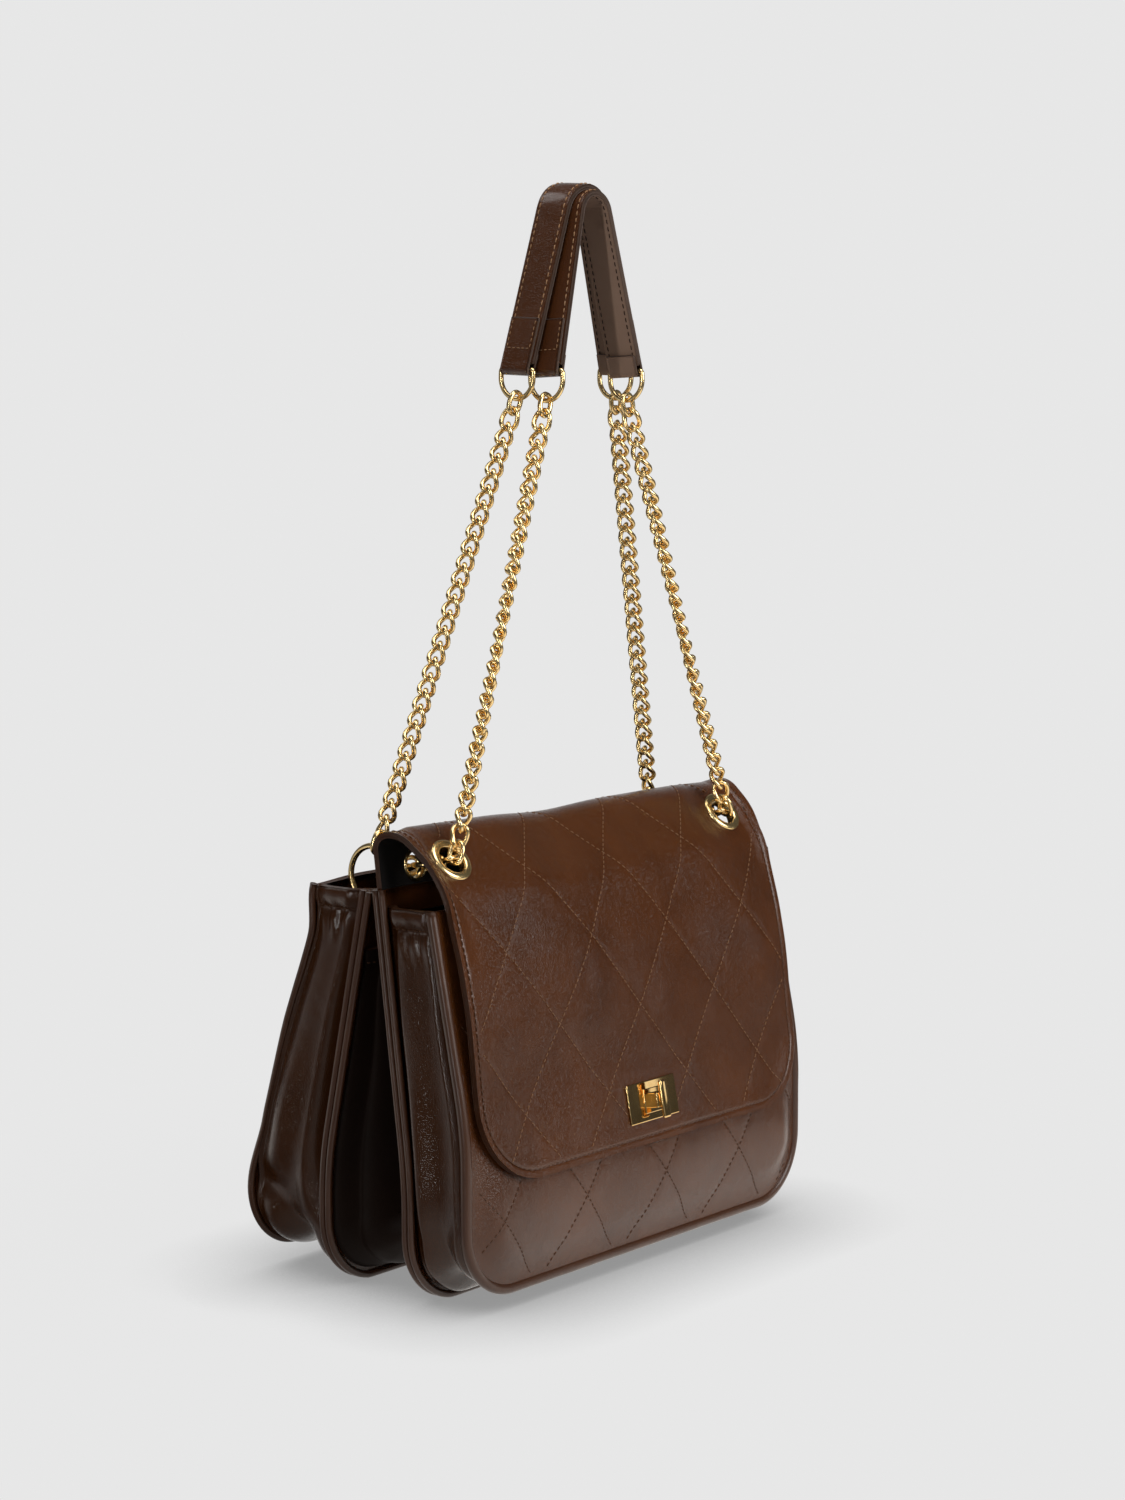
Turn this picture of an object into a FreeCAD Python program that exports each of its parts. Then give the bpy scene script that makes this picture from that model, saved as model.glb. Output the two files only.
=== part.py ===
import FreeCAD, Part
import math
import os

# Chain shoulder bag: a soft leather bag with three accordion compartments, a quilted front panel,
# a flap that folds over the front compartment, a turn lock, and two chain straps with leather pads.
# Millimetres. +X is the bag's right as seen from the front, -Y is forwards, +Z is up.
# The bag stands on the piping of its two dividers, at z = 0.

# Body
body_width = 260.0
corner_radius = 34.0
leather = 2.4
piping_radius = 2.1
divider_piping_radius = 1.7
base_flat = 0.4  # how far the divider piping is pressed flat where the bag stands on it
seam_gap = 0.2

# Depths of the compartments at the base, and of their mouths, between panel centres
front_base_depth = 34.0
middle_base_depth = 51.0
rear_base_depth = 49.0
front_mouth = 30.7
middle_mouth = 7.5
rear_mouth = 36.3
divider_lean = 16.7  # how far the front divider's top lies behind its foot

# Heights: the foot, the knee where a panel starts to lean in, and the top
outer_foot = 7.0
front_knee = 85.0
divider_knee = 60.0
back_knee = 66.0
knee_reach = 18.0  # length of the rounded knee, each way from its corner
front_top = 184.0
divider_front_top = 191.0
divider_rear_top = 190.0
back_top = 190.0

# Gussets
gusset_leather = 1.6
gusset_inset = 6.0  # from the panels' outer edge
fold_base = 9.0
front_fold_top = 9.0
middle_fold_top = 2.0
rear_fold_top = 7.0
middle_gusset_drop = 28.0
gusset_drop = 1.0

# Lining
lining = 0.8
lining_inset = 11.0
lining_drop = 12.0

# Flap
flap_inset = 8.0  # of the flap's side from the body's
bridge_inset = 2.5  # of the bridge's side where it rises from the divider
flap_corner_radius = 36.0
flap_leather = 1.8
flap_lining = 1.0
ply_gap = 0.1
flap_clearance = 1.2  # between the front panel and the flap
flap_tip = 60.4
fold_rise = 25.5
fold_radius = 6.5
crown_run = 13.6
crown_slope = 5.5
crown_radius = 12.0
land_slope = 49.5
shoulder_radius = 25.0
hinge_gap = 0.3
hinge_margin = 1.0

# Eyelets: front ones in the flap, rear ones in the divider under it
eyelet_inset = 18.3  # from the flap's side
eyelet_drop = 16.2  # from the front corner of the crown, along the land
front_bore = 6.9
front_flange = 11.0
rear_eyelet_rise = 8.6
rear_bore = 6.2
rear_flange = 8.2
eyelet_wall = 0.9
flange_height = 1.2
washer_height = 0.8

# Chains
link_pitch = 7.6
wire_radius = 1.12
link_half_width = 3.7
link_play = 0.3
hook_play = 0.4  # more room where a chain hangs from another chain or a ring
wire_sides = 4
link_stations = 8
link_squareness = 2.4
hanger_squareness = 6.0  # of the tail's first link, which leaves room for the chain that hangs from it
front_links = 29
rear_links = 29
pivot_height = 3.2  # of the front chain's pivot over the middle of the flap
ring_wire = 1.4
ring_clearance = 1.3  # between the stop ring and the panels of the rear compartment's mouth
dring_radius = 9.6
dring_wire = 1.2
dring_cheek = 4.0
dring_corner = 1.5
front_strap_x = 30.0
front_strap_y = -26.5
rear_strap_y = -14.5

# Shoulder pads
pad_width = 18.0
pad_leather = 1.6
pad_lining = 1.0
front_pad_angle = 15.0  # of each leg from upright
rear_pad_angle = 17.0
pad_crown_radius = 10.4
pad_nest = 3.8  # from the front pad's crown up to the rear pad's
pad_spread = 7.0  # between the front and rear D-rings of one side
pad_lean = 2.5
pad_end_gap = 3.0
tab_width = 15.6
tab_leather = 1.4
tab_outer_height = 24.0
tab_inner_height = 8.0

# Lock
lock_height = 80.0
lock_width = 37.0
lock_tall = 19.0
lock_plate_thickness = 1.2
lock_bevel = 0.5
boss_width = 9.0
boss_tall = 7.0
boss_height = 5.4
bar_width = 5.0
bar_tall = 18.0
bar_thickness = 2.2
stem_radius = 2.6
stem_play = 0.2
backplate_width = 32.0
backplate_tall = 14.0
backplate_thickness = 0.6
cam_width = 5.0
cam_tall = 13.0
cam_thickness = 0.8
cam_play = 0.25
keeper_width = 26.0
keeper_tall = 22.0
keeper_wall = 0.7


def vec(x, y, z):
    return FreeCAD.Vector(x, y, z)


def panel(foot_y, foot_z, knee_z, top_y, top_z):
    return {"foot_y": foot_y, "foot_z": foot_z, "knee_z": knee_z, "top_y": top_y, "top_z": top_z}


divider_front_foot_y = -middle_base_depth / 2
divider_front_top_y = divider_front_foot_y + divider_lean
divider_rear_top_y = divider_front_top_y + middle_mouth

front = panel(divider_front_foot_y - front_base_depth, outer_foot, front_knee,
              divider_front_top_y - front_mouth, front_top)
divider_front = panel(divider_front_foot_y, -base_flat, divider_knee,
                      divider_front_top_y, divider_front_top)
divider_rear = panel(middle_base_depth / 2, -base_flat, divider_knee,
                     divider_rear_top_y, divider_rear_top)
back = panel(middle_base_depth / 2 + rear_base_depth, outer_foot, back_knee,
             divider_rear_top_y + rear_mouth, back_top)

half_width = body_width / 2
flap_half_width = half_width - flap_inset
bridge_half_width = half_width - bridge_inset
eyelet_x = flap_half_width - eyelet_inset
ring_radius = (rear_mouth - leather) / 2 - ring_clearance - ring_wire
trim_inset = 2 * piping_radius + seam_gap  # where a panel's leather ends behind its piping
divider_inset = 2 * divider_piping_radius
flap_ply = flap_leather + ply_gap + flap_lining


# Side view of a panel: upright from its foot, a rounded knee, then a straight lean to its top.

def lean_of(shape):
    return math.atan2(shape["top_y"] - shape["foot_y"], shape["top_z"] - shape["knee_z"])


def knee_point(shape, share, offset):
    lean = lean_of(shape)
    bend = math.copysign(knee_reach / math.tan(abs(lean) / 2), lean)
    angle = lean * share
    y = shape["foot_y"] + bend * (1 - math.cos(angle)) + offset * math.cos(angle)
    z = shape["knee_z"] - knee_reach + bend * math.sin(angle) - offset * math.sin(angle)
    return y, z


def top_point(shape, offset):
    lean = lean_of(shape)
    return shape["top_y"] + offset * math.cos(lean), shape["top_z"] - offset * math.sin(lean)


def line_y(shape, z):
    lean = lean_of(shape)
    start = knee_point(shape, 0, 0)
    end = knee_point(shape, 1, 0)
    if z <= start[1]:
        return shape["foot_y"]
    if z >= end[1]:
        return shape["top_y"] - (shape["top_z"] - z) * math.tan(lean)
    bend = knee_reach / math.tan(abs(lean) / 2)
    rise = z - start[1]
    return shape["foot_y"] + math.copysign(bend - math.sqrt(bend ** 2 - rise ** 2), lean)


def lowered(shape, drop):
    top_y = shape["top_y"] - drop * math.tan(lean_of(shape))
    return panel(shape["foot_y"], shape["foot_z"], shape["knee_z"], top_y, shape["top_z"] - drop)


def side_edges(shape, offset, x, low):
    start, middle, end = (knee_point(shape, share, offset) for share in (0, 0.5, 1))
    top = top_point(shape, offset)
    foot = vec(x, shape["foot_y"] + offset, low)
    knee = Part.Arc(vec(x, *start), vec(x, *middle), vec(x, *end)).toShape()
    return [Part.makeLine(foot, vec(x, *start)), knee, Part.makeLine(vec(x, *end), vec(x, *top))]


def quarter(centre_x, y, centre_z, radius, side):
    cut = radius * math.sqrt(0.5)
    first = vec(centre_x + side * radius, y, centre_z)
    middle = vec(centre_x + side * cut, y, centre_z - cut)
    last = vec(centre_x, y, centre_z - radius)
    return Part.Arc(first, middle, last).toShape()


def outline(half, radius, low, high, y):
    corner_x = half - radius
    corner_z = low + radius
    edges = [
        Part.makeLine(vec(-half, y, high), vec(-half, y, corner_z)),
        quarter(-corner_x, y, corner_z, radius, -1),
        Part.makeLine(vec(-corner_x, y, low), vec(corner_x, y, low)),
        quarter(corner_x, y, corner_z, radius, 1),
        Part.makeLine(vec(half, y, corner_z), vec(half, y, high)),
        Part.makeLine(vec(half, y, high), vec(-half, y, high)),
    ]
    return Part.Face(Part.Wire(Part.__sortEdges__(edges)))


def plate(shape, inner, outer, inset):
    low = shape["foot_z"] + inset
    ends = [inner, outer]
    sides = [side_edges(shape, offset, -half_width, low) for offset in ends]
    feet = [vec(-half_width, shape["foot_y"] + offset, low) for offset in ends]
    tops = [vec(-half_width, *top_point(shape, offset)) for offset in ends]
    edges = sides[0] + sides[1] + [Part.makeLine(*feet), Part.makeLine(*tops)]
    slab = Part.Face(Part.Wire(Part.__sortEdges__(edges))).extrude(vec(body_width, 0, 0))
    box = slab.BoundBox
    form = outline(half_width - inset, corner_radius - inset, low, box.ZMax + leather, box.YMin - leather)
    return slab.common(form.extrude(vec(0, box.YLength + 2 * leather, 0))).Solids[0]


def piping(shape, offset, radius):
    half = half_width - radius
    corner = corner_radius - radius
    foot_y = shape["foot_y"] + offset
    corner_z = shape["foot_z"] + corner_radius
    edges = side_edges(shape, offset, -half, corner_z)
    edges.append(quarter(-half_width + corner_radius, foot_y, corner_z, corner, -1))
    low = shape["foot_z"] + radius
    reach = half_width - corner_radius
    edges.append(Part.makeLine(vec(-reach, foot_y, low), vec(reach, foot_y, low)))
    edges.append(quarter(reach, foot_y, corner_z, corner, 1))
    edges += side_edges(shape, offset, half, corner_z)
    path = Part.Wire(Part.__sortEdges__(edges))
    top = vec(-half, *top_point(shape, offset))
    lean = lean_of(shape)
    ring = Part.Circle(top, vec(0, math.sin(lean), math.cos(lean)), radius).toShape()
    return path.makePipeShell([Part.Wire(ring)], True, False)


def pressed_flat(solid):
    box = solid.BoundBox
    under = Part.makeBox(box.XLength, box.YLength, base_flat + leather,
                         vec(box.XMin, box.YMin, -base_flat - leather))
    return solid.cut(under)


def double_piping(shape):
    radius = divider_piping_radius
    apart = radius + seam_gap
    return Part.makeCompound([pressed_flat(piping(shape, side * apart, radius)) for side in (-1, 1)])


# A gusset is a strip sewn round the U between two panels, with a fold pushed inwards along its middle.

knee_marks = (1.0, 0.33, -0.33, -1.0)  # stations round a knee, in lengths of its reach
upper_steps = 3
corner_steps = 4


def gusset_stations(shape, drop):
    radius = corner_radius - gusset_inset
    corner_z = shape["foot_z"] + corner_radius
    reach = half_width - corner_radius
    high = shape["top_z"] - drop
    knee_top = shape["knee_z"] + knee_reach
    levels = [high + (knee_top - high) * step / upper_steps for step in range(upper_steps)]
    levels += [shape["knee_z"] + mark * knee_reach for mark in knee_marks]
    points = [vec(-half_width + gusset_inset, line_y(shape, z), z) for z in levels]
    for step in range(corner_steps + 1):
        angle = math.pi / 2 * step / corner_steps
        points.append(vec(-reach - radius * math.cos(angle), shape["foot_y"],
                          corner_z - radius * math.sin(angle)))
    return points


def mirrored_x(point):
    return vec(-point.x, point.y, point.z)


def gusset(fore, aft, drop, top_fold):
    side_steps = upper_steps + len(knee_marks)
    clear = vec(0, leather / 2 / math.cos(max(abs(lean_of(fore)), abs(lean_of(aft)))) + seam_gap, 0)
    fore_points = [p + clear for p in gusset_stations(fore, drop)]
    aft_points = [p - clear for p in gusset_stations(aft, drop)]
    half = []
    for index, (near, far) in enumerate(zip(fore_points, aft_points)):
        turn = max(0, index - side_steps) / corner_steps * math.pi / 2
        inward = vec(math.cos(turn), 0, math.sin(turn))
        share = min(1.0, index / side_steps)
        fold = top_fold + (fold_base - top_fold) * share
        middle = (near + far) * 0.5 + inward * fold
        skin = [near, middle, far]
        wall = [p + inward * gusset_leather for p in reversed(skin)]
        half.append(skin + wall)
    other = [[mirrored_x(p) for p in loop] for loop in reversed(half)]
    wires = [Part.makePolygon(loop + [loop[0]]) for loop in half + other]
    return Part.makeLoft(wires, True, True)


# A band is a strip of leather seen edge on: straight runs with rounded corners, given as points and
# radii in its own plane. Offsets are measured outwards from its centre line, and the line turns left.

def unit(a, b):
    length = math.hypot(b[0] - a[0], b[1] - a[1])
    return (b[0] - a[0]) / length, (b[1] - a[1]) / length


def band_curve(points, radii, offset):
    runs = [unit(a, b) for a, b in zip(points, points[1:])]
    outs = [(d[1], -d[0]) for d in runs]
    marks = [(points[0][0] + offset * outs[0][0], points[0][1] + offset * outs[0][1])]
    for index, radius in enumerate(radii):
        n1, n2 = outs[index], outs[index + 1]
        d1, d2 = runs[index], runs[index + 1]
        dot = n1[0] * n2[0] + n1[1] * n2[1]
        spread = offset / (1 + dot)
        corner = [points[index + 1][i] + spread * (n1[i] + n2[i]) for i in (0, 1)]
        bend = radius + offset
        reach = bend * math.tan(math.acos(dot) / 2)
        first = [corner[i] - d1[i] * reach for i in (0, 1)]
        last = [corner[i] + d2[i] * reach for i in (0, 1)]
        length = math.hypot(n1[0] + n2[0], n1[1] + n2[1])
        middle = [first[i] - n1[i] * bend + (n1[i] + n2[i]) / length * bend for i in (0, 1)]
        marks += [tuple(first), tuple(middle), tuple(last)]
    end = points[-1]
    marks.append((end[0] + offset * outs[-1][0], end[1] + offset * outs[-1][1]))
    return marks


def band(points, radii, inner, outer, place):
    edges = []
    ends = []
    for offset in (inner, outer):
        marks = [place(*mark) for mark in band_curve(points, radii, offset)]
        ends.append((marks[0], marks[-1]))
        for index in range(0, len(marks) - 1, 3):
            edges.append(Part.makeLine(marks[index], marks[index + 1]))
        for index in range(1, len(marks) - 2, 3):
            edges.append(Part.Arc(marks[index], marks[index + 1], marks[index + 2]).toShape())
    edges += [Part.makeLine(ends[0][side], ends[1][side]) for side in (0, 1)]
    return Part.Face(Part.Wire(Part.__sortEdges__(edges)))


# Flap: up from the front divider, round the fold, over a short crown, down a land that holds the eyelets,
# round a shoulder, and down the front parallel to the front panel.

leg_lean = lean_of(divider_front)
leg_up = (math.sin(leg_lean), math.cos(leg_lean))
flap_start = (divider_front_top_y + seam_gap * leg_up[0], divider_front_top + seam_gap * leg_up[1])
fold_corner = (flap_start[0] + fold_rise * leg_up[0], flap_start[1] + fold_rise * leg_up[1])
fall = math.radians(crown_slope)
crown_corner = (fold_corner[0] - crown_run * math.cos(fall), fold_corner[1] - crown_run * math.sin(fall))
slope = math.radians(land_slope)
land_down = (-math.cos(slope), -math.sin(slope))
land_out = (-math.sin(slope), math.cos(slope))
front_lean = lean_of(front)
drop_down = (-math.sin(front_lean), -math.cos(front_lean))
drop_out = (-math.cos(front_lean), math.sin(front_lean))
stand_off = leather / 2 + flap_clearance + flap_ply / 2
drop_start = (front["top_y"] + stand_off * drop_out[0], front["top_z"] + stand_off * drop_out[1])
cross = land_down[0] * drop_down[1] - land_down[1] * drop_down[0]
land_run = ((drop_start[0] - crown_corner[0]) * drop_down[1]
            - (drop_start[1] - crown_corner[1]) * drop_down[0]) / cross
shoulder_corner = (crown_corner[0] + land_run * land_down[0], crown_corner[1] + land_run * land_down[1])
tip_run = (flap_tip - shoulder_corner[1]) / drop_down[1]
flap_end = (shoulder_corner[0] + tip_run * drop_down[0], flap_tip)
flap_points = [flap_start, fold_corner, crown_corner, shoulder_corner, flap_end]
flap_radii = [fold_radius, crown_radius, shoulder_radius]

hinge_run = eyelet_drop + front_flange + hinge_margin
hinge_y = crown_corner[0] + hinge_run * land_down[0] + flap_ply / 2 * land_out[0]
hinge_z = crown_corner[1] + hinge_run * land_down[1] + flap_ply / 2 * land_out[1]


def side_view(y, z):
    return vec(-bridge_half_width, y, z)


def flap_sheet(inner, outer):
    face = band(flap_points, flap_radii, inner, outer, side_view)
    return face.extrude(vec(2 * bridge_half_width, 0, 0))


# The bridge narrows from the divider to the flap's own width, and the flap's lower corners are round.

def bridge_form():
    ahead = hinge_y - body_width
    behind = flap_start[0] + body_width
    corners = [(flap_half_width, ahead), (flap_half_width, hinge_y), (bridge_half_width, flap_start[0]),
               (bridge_half_width, behind)]
    loop = [vec(x, y, 0) for x, y in corners] + [vec(-x, y, 0) for x, y in reversed(corners)]
    return Part.Face(Part.makePolygon(loop + [loop[0]])).extrude(vec(0, 0, 2 * fold_corner[1]))


def flap_form():
    form = outline(flap_half_width, flap_corner_radius, flap_tip, 2 * fold_corner[1], hinge_y - body_width)
    return form.extrude(vec(0, 2 * body_width, 0))


def hinge_half(side):
    reach = 3 * body_width
    block = Part.makeBox(2 * reach, reach, 2 * reach, vec(-reach, 0, -reach))
    turn = math.degrees(math.atan2(land_down[1], land_down[0]))
    block.rotate(vec(0, 0, 0), vec(1, 0, 0), turn if side > 0 else turn + 180)
    edge = vec(0, land_down[0], land_down[1]) * (side * hinge_gap / 2)
    block.translate(vec(0, hinge_y, hinge_z) + edge)
    return block


def flap_half(inner, outer, side):
    form = flap_form() if side > 0 else bridge_form()
    return flap_sheet(inner, outer).common(form).common(hinge_half(side)).Solids[0]


leather_ply = (flap_ply / 2 - flap_leather, flap_ply / 2)
lining_ply = (-flap_ply / 2, -flap_ply / 2 + flap_lining)


# Eyelets, washers and the lock are made flat, with +Z as the outward side, and then set in place.

def frame_matrix(origin, along, out):
    across = along.cross(out)
    return FreeCAD.Matrix(across.x, along.x, out.x, origin.x,
                          across.y, along.y, out.y, origin.y,
                          across.z, along.z, out.z, origin.z,
                          0, 0, 0, 1)


def set_in(solid, origin, along, out):
    placed = solid.copy()
    placed.Placement = FreeCAD.Placement(frame_matrix(origin, along, out))
    return placed


def turned(points):
    loop = [vec(r, 0, h) for r, h in points]
    face = Part.Face(Part.makePolygon(loop + [loop[0]]))
    return face.revolve(vec(0, 0, 0), vec(0, 0, 1), 360)


def eyelet(bore, flange):
    barrel = bore + eyelet_wall
    half = flap_ply / 2
    crown = half + flange_height
    lip = eyelet_wall / 2
    return turned([(bore, -half - washer_height), (barrel, -half - washer_height), (barrel, half),
                   (flange, half), (flange, half + lip), (flange - 2 * lip, crown),
                   (bore + 2 * lip, crown), (bore, half + lip)])


def washer(bore, flange):
    inner = bore + eyelet_wall + ply_gap
    outer = flange - eyelet_wall / 2
    half = flap_ply / 2
    return turned([(inner, -half - washer_height), (outer, -half - washer_height),
                   (outer, -half), (inner, -half)])


def eyelet_hole(bore):
    return Part.makeCylinder(bore + eyelet_wall + ply_gap, 4 * flap_ply, vec(0, 0, -2 * flap_ply))


front_eyelet_at = (crown_corner[0] + eyelet_drop * land_down[0], crown_corner[1] + eyelet_drop * land_down[1])
front_eyelet_up = vec(0, -land_down[0], -land_down[1])
front_eyelet_out = vec(0, land_out[0], land_out[1])
rear_eyelet_at = (flap_start[0] + rear_eyelet_rise * leg_up[0], flap_start[1] + rear_eyelet_rise * leg_up[1])
rear_eyelet_up = vec(0, leg_up[0], leg_up[1])
rear_eyelet_out = vec(0, leg_up[1], -leg_up[0])


def front_eyelet_seat(solid, side):
    return set_in(solid, vec(side * eyelet_x, *front_eyelet_at), front_eyelet_up, front_eyelet_out)


def rear_eyelet_seat(solid, side):
    return set_in(solid, vec(side * eyelet_x, *rear_eyelet_at), rear_eyelet_up, rear_eyelet_out)


def pierced(solid):
    for side in (-1, 1):
        solid = solid.cut(front_eyelet_seat(eyelet_hole(front_bore), side))
        solid = solid.cut(rear_eyelet_seat(eyelet_hole(rear_bore), side))
    return solid


# Chains: oval links of one wire, each turned a quarter against the next and then twisted back along the
# chain, so that they lie flat as a curb chain. A strand's first and last links are left untwisted.

link_half_length = link_pitch / 2 + wire_radius + link_play / 2


def link(centre, along, across, twist, squareness):
    other = along.cross(across)

    def point(turn):
        c, s = math.cos(turn), math.sin(turn)
        power = 2 / squareness
        u = link_half_length * math.copysign(abs(c) ** power, c)
        v = link_half_width * math.copysign(abs(s) ** power, s)
        roll = twist(u)
        middle = centre + along * u + (across * math.cos(roll) + other * math.sin(roll)) * v
        return middle, other * math.cos(roll) - across * math.sin(roll)

    small = 0.05
    wires = []
    for station in range(link_stations):
        turn = 2 * math.pi * station / link_stations
        middle, normal = point(turn)
        run = (point(turn + small)[0] - point(turn - small)[0]).normalize()
        first = (normal - run * normal.dot(run)).normalize()
        second = run.cross(first)
        loop = []
        for corner in range(wire_sides):
            angle = 2 * math.pi * corner / wire_sides
            spoke = first * math.cos(angle) + second * math.sin(angle)
            loop.append(middle + spoke * wire_radius)
        wires.append(Part.makePolygon(loop + [loop[0]]))
    return Part.makeLoft(wires, True, True, True)


def strand(start, end, count, first_roll):
    along = (end - start).normalize()
    across = (vec(0, 1, 0) - along * along.y).normalize()
    plain = link_pitch / 2
    ramp = 2 * link_pitch
    length = count * link_pitch

    def eased(distance):
        reach = min(max(distance - plain, 0), length - 2 * plain)
        total = length - 2 * plain
        head = min(reach, ramp)
        tail = max(0, reach - (total - ramp))
        return head ** 2 / (2 * ramp) + (reach - head - tail) + tail - tail ** 2 / (2 * ramp)

    # the twist is rounded down so that the last link stands square to its D-ring
    square = (first_roll + (count - 2) * math.pi / 2) % math.pi
    half_turns = math.floor(eased(length) / link_pitch / 2 - square / math.pi)
    rate = (half_turns * math.pi + square) / eased(length)
    links = []
    for index in range(count):
        middle = (index + 0.5) * link_pitch
        roll = first_roll + index * math.pi / 2

        def twist(u, middle=middle, roll=roll):
            return roll - rate * eased(middle + u)

        links.append(link(start + along * middle, along, across, twist, link_squareness))
    return links


def towards(start, end):
    return (end - start).normalize()


# The tail of each front chain runs under the flap, from its eyelet back through the divider's eyelet,
# and ends on a ring that is too large to be drawn through. The rear chain hangs from the same ring.

def tail_contacts(side, hang):
    x = side * eyelet_x
    rear = vec(x, *rear_eyelet_at)
    fore = vec(x, *front_eyelet_at)
    ahead = towards(rear, fore)
    contacts = [fore + front_eyelet_out * pivot_height]
    contacts.append(contacts[-1] - (ahead + front_eyelet_out).normalize() * link_pitch)
    through = towards(contacts[-1], rear)
    contacts.append(contacts[-1] + through * link_pitch)
    contacts.append(contacts[-1] + through * link_pitch)
    sag = vec(0, math.cos(hang), -math.sin(hang))
    contacts.append(contacts[-1] + (through + sag).normalize() * link_pitch)
    contacts.append(contacts[-1] + sag * link_pitch)
    return contacts, sag


def ring_place(side, hang):
    contacts, sag = tail_contacts(side, hang)
    return contacts[-1] + sag * (ring_radius - ring_wire - hook_play)


# The tail hangs down so far that its ring comes midway between the panels of the rear compartment.

low_hang, high_hang = 0.0, math.pi / 2
for _ in range(40):
    ring_hang = (low_hang + high_hang) / 2
    hung = ring_place(1, ring_hang)
    if hung.y > (line_y(divider_rear, hung.z) + line_y(back, hung.z)) / 2:
        low_hang = ring_hang
    else:
        high_hang = ring_hang


def tail(side):
    contacts = tail_contacts(side, ring_hang)[0]
    links = []
    for index, (fore, aft) in enumerate(zip(contacts, contacts[1:])):
        along = towards(fore, aft)
        across = vec(1, 0, 0) if index % 2 == 0 else along.cross(vec(1, 0, 0))
        squareness = hanger_squareness if index == 0 else link_squareness
        links.append(link((fore + aft) * 0.5, along, across, lambda u: 0.0, squareness))
    return links


def ring(side):
    return Part.makeTorus(ring_radius, ring_wire, ring_place(side, ring_hang), vec(1, 0, 0))


def front_pivot(side):
    contacts = tail_contacts(side, ring_hang)[0]
    return contacts[0] - towards(contacts[0], contacts[1]) * (wire_radius + link_play / 2)


# Where a strand of a given length from its foot reaches a D-ring at a given x and y.

def strand_end(start, x, y, count):
    length = count * link_pitch
    rise = math.sqrt(length ** 2 - (x - start.x) ** 2 - (y - start.y) ** 2)
    return vec(x, y, start.z + rise)


rear_strap_x = front_strap_x + pad_spread
hook = dring_wire + hook_play


def front_strand_points(side):
    pivot = front_pivot(side)
    end = strand_end(pivot, side * front_strap_x, front_strap_y, front_links)
    start = pivot - towards(pivot, end) * (wire_radius + link_play / 2 + hook_play)
    return start, strand_end(start, side * front_strap_x, front_strap_y, front_links)


def rear_strand_points(side):
    centre = ring_place(side, ring_hang)
    lift = ring_radius - ring_wire - hook_play
    start = centre + vec(0, 0, lift)
    for _ in range(4):
        end = strand_end(start, side * rear_strap_x, rear_strap_y, rear_links)
        aim = towards(vec(0, centre.y, centre.z), vec(0, end.y, end.z))
        start = centre + aim * lift
    return start, strand_end(start, side * rear_strap_x, rear_strap_y, rear_links)


def dring_centre(end):
    return end + vec(0, 0, dring_radius - hook)


# A D-ring: a round bow below its centre, two cheeks, and a straight bar that the pad's tab wraps.

def dring(centre):
    r = dring_radius
    c = dring_corner
    cut = c * (1 - math.sqrt(0.5))
    high = dring_cheek

    def at(y, z):
        return centre + vec(0, y, z)

    edges = [
        Part.Arc(at(-r, 0), at(0, -r), at(r, 0)).toShape(),
        Part.makeLine(at(r, 0), at(r, high - c)),
        Part.Arc(at(r, high - c), at(r - cut, high - cut), at(r - c, high)).toShape(),
        Part.makeLine(at(r - c, high), at(c - r, high)),
        Part.Arc(at(c - r, high), at(cut - r, high - cut), at(-r, high - c)).toShape(),
        Part.makeLine(at(-r, high - c), at(-r, 0)),
    ]
    path = Part.Wire(Part.__sortEdges__(edges))
    section = Part.Wire(Part.Circle(at(-r, 0), vec(0, 0, 1), dring_wire).toShape())
    return path.makePipeShell([section], True, False)


pad_ply = pad_leather + ply_gap + pad_lining
tab_inner = max(dring_wire, pad_ply / 2) + ply_gap


def pad_peak(centre, slant):
    return centre.z + dring_cheek + abs(centre.x) / math.tan(math.radians(slant))


def crown_cut(slant):
    return 1 / math.sin(math.radians(slant)) - 1  # from the peak down to the crown, in radii


def pad_line(centre, slant, crown):
    angle = math.radians(slant)
    right = (abs(centre.x) - math.sin(angle) * pad_end_gap,
             centre.z + dring_cheek + math.cos(angle) * pad_end_gap)
    return [right, (0, pad_peak(centre, slant)), (-right[0], right[1])], [crown]


def pad_layer(centre, slant, crown, inner, outer):
    points, radii = pad_line(centre, slant, crown)
    low_y = centre.y - pad_width / 2

    def front_view(x, z):
        return vec(x, low_y, z)

    return band(points, radii, inner, outer, front_view).extrude(vec(0, pad_width, 0))


def tab(centre, slant, side):
    bar = vec(side * abs(centre.x), centre.y - tab_width / 2, centre.z + dring_cheek)
    inner, outer = tab_inner, tab_inner + tab_leather
    profile = []
    for radius in (outer, inner):
        profile.append([vec(radius, 0, tab_outer_height), vec(radius, 0, 0), vec(0, 0, -radius),
                        vec(-radius, 0, 0), vec(-radius, 0, tab_inner_height)])
    edges = []
    for run in profile:
        edges += [Part.makeLine(run[0], run[1]), Part.Arc(*run[1:4]).toShape(), Part.makeLine(run[3], run[4])]
    edges.append(Part.makeLine(profile[0][0], profile[1][0]))
    edges.append(Part.makeLine(profile[0][4], profile[1][4]))
    loop = Part.Face(Part.Wire(Part.__sortEdges__(edges))).extrude(vec(0, tab_width, 0))
    if side < 0:
        loop = loop.mirror(vec(0, tab_width / 2, 0), vec(1, 0, 0))
    loop.rotate(vec(0, 0, 0), vec(0, 1, 0), -side * slant)
    loop.translate(bar)
    return loop


def leaned(solid, centre, angle):
    tilted = solid.copy()
    tilted.rotate(centre, vec(1, 0, 0), angle)
    return tilted


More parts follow.
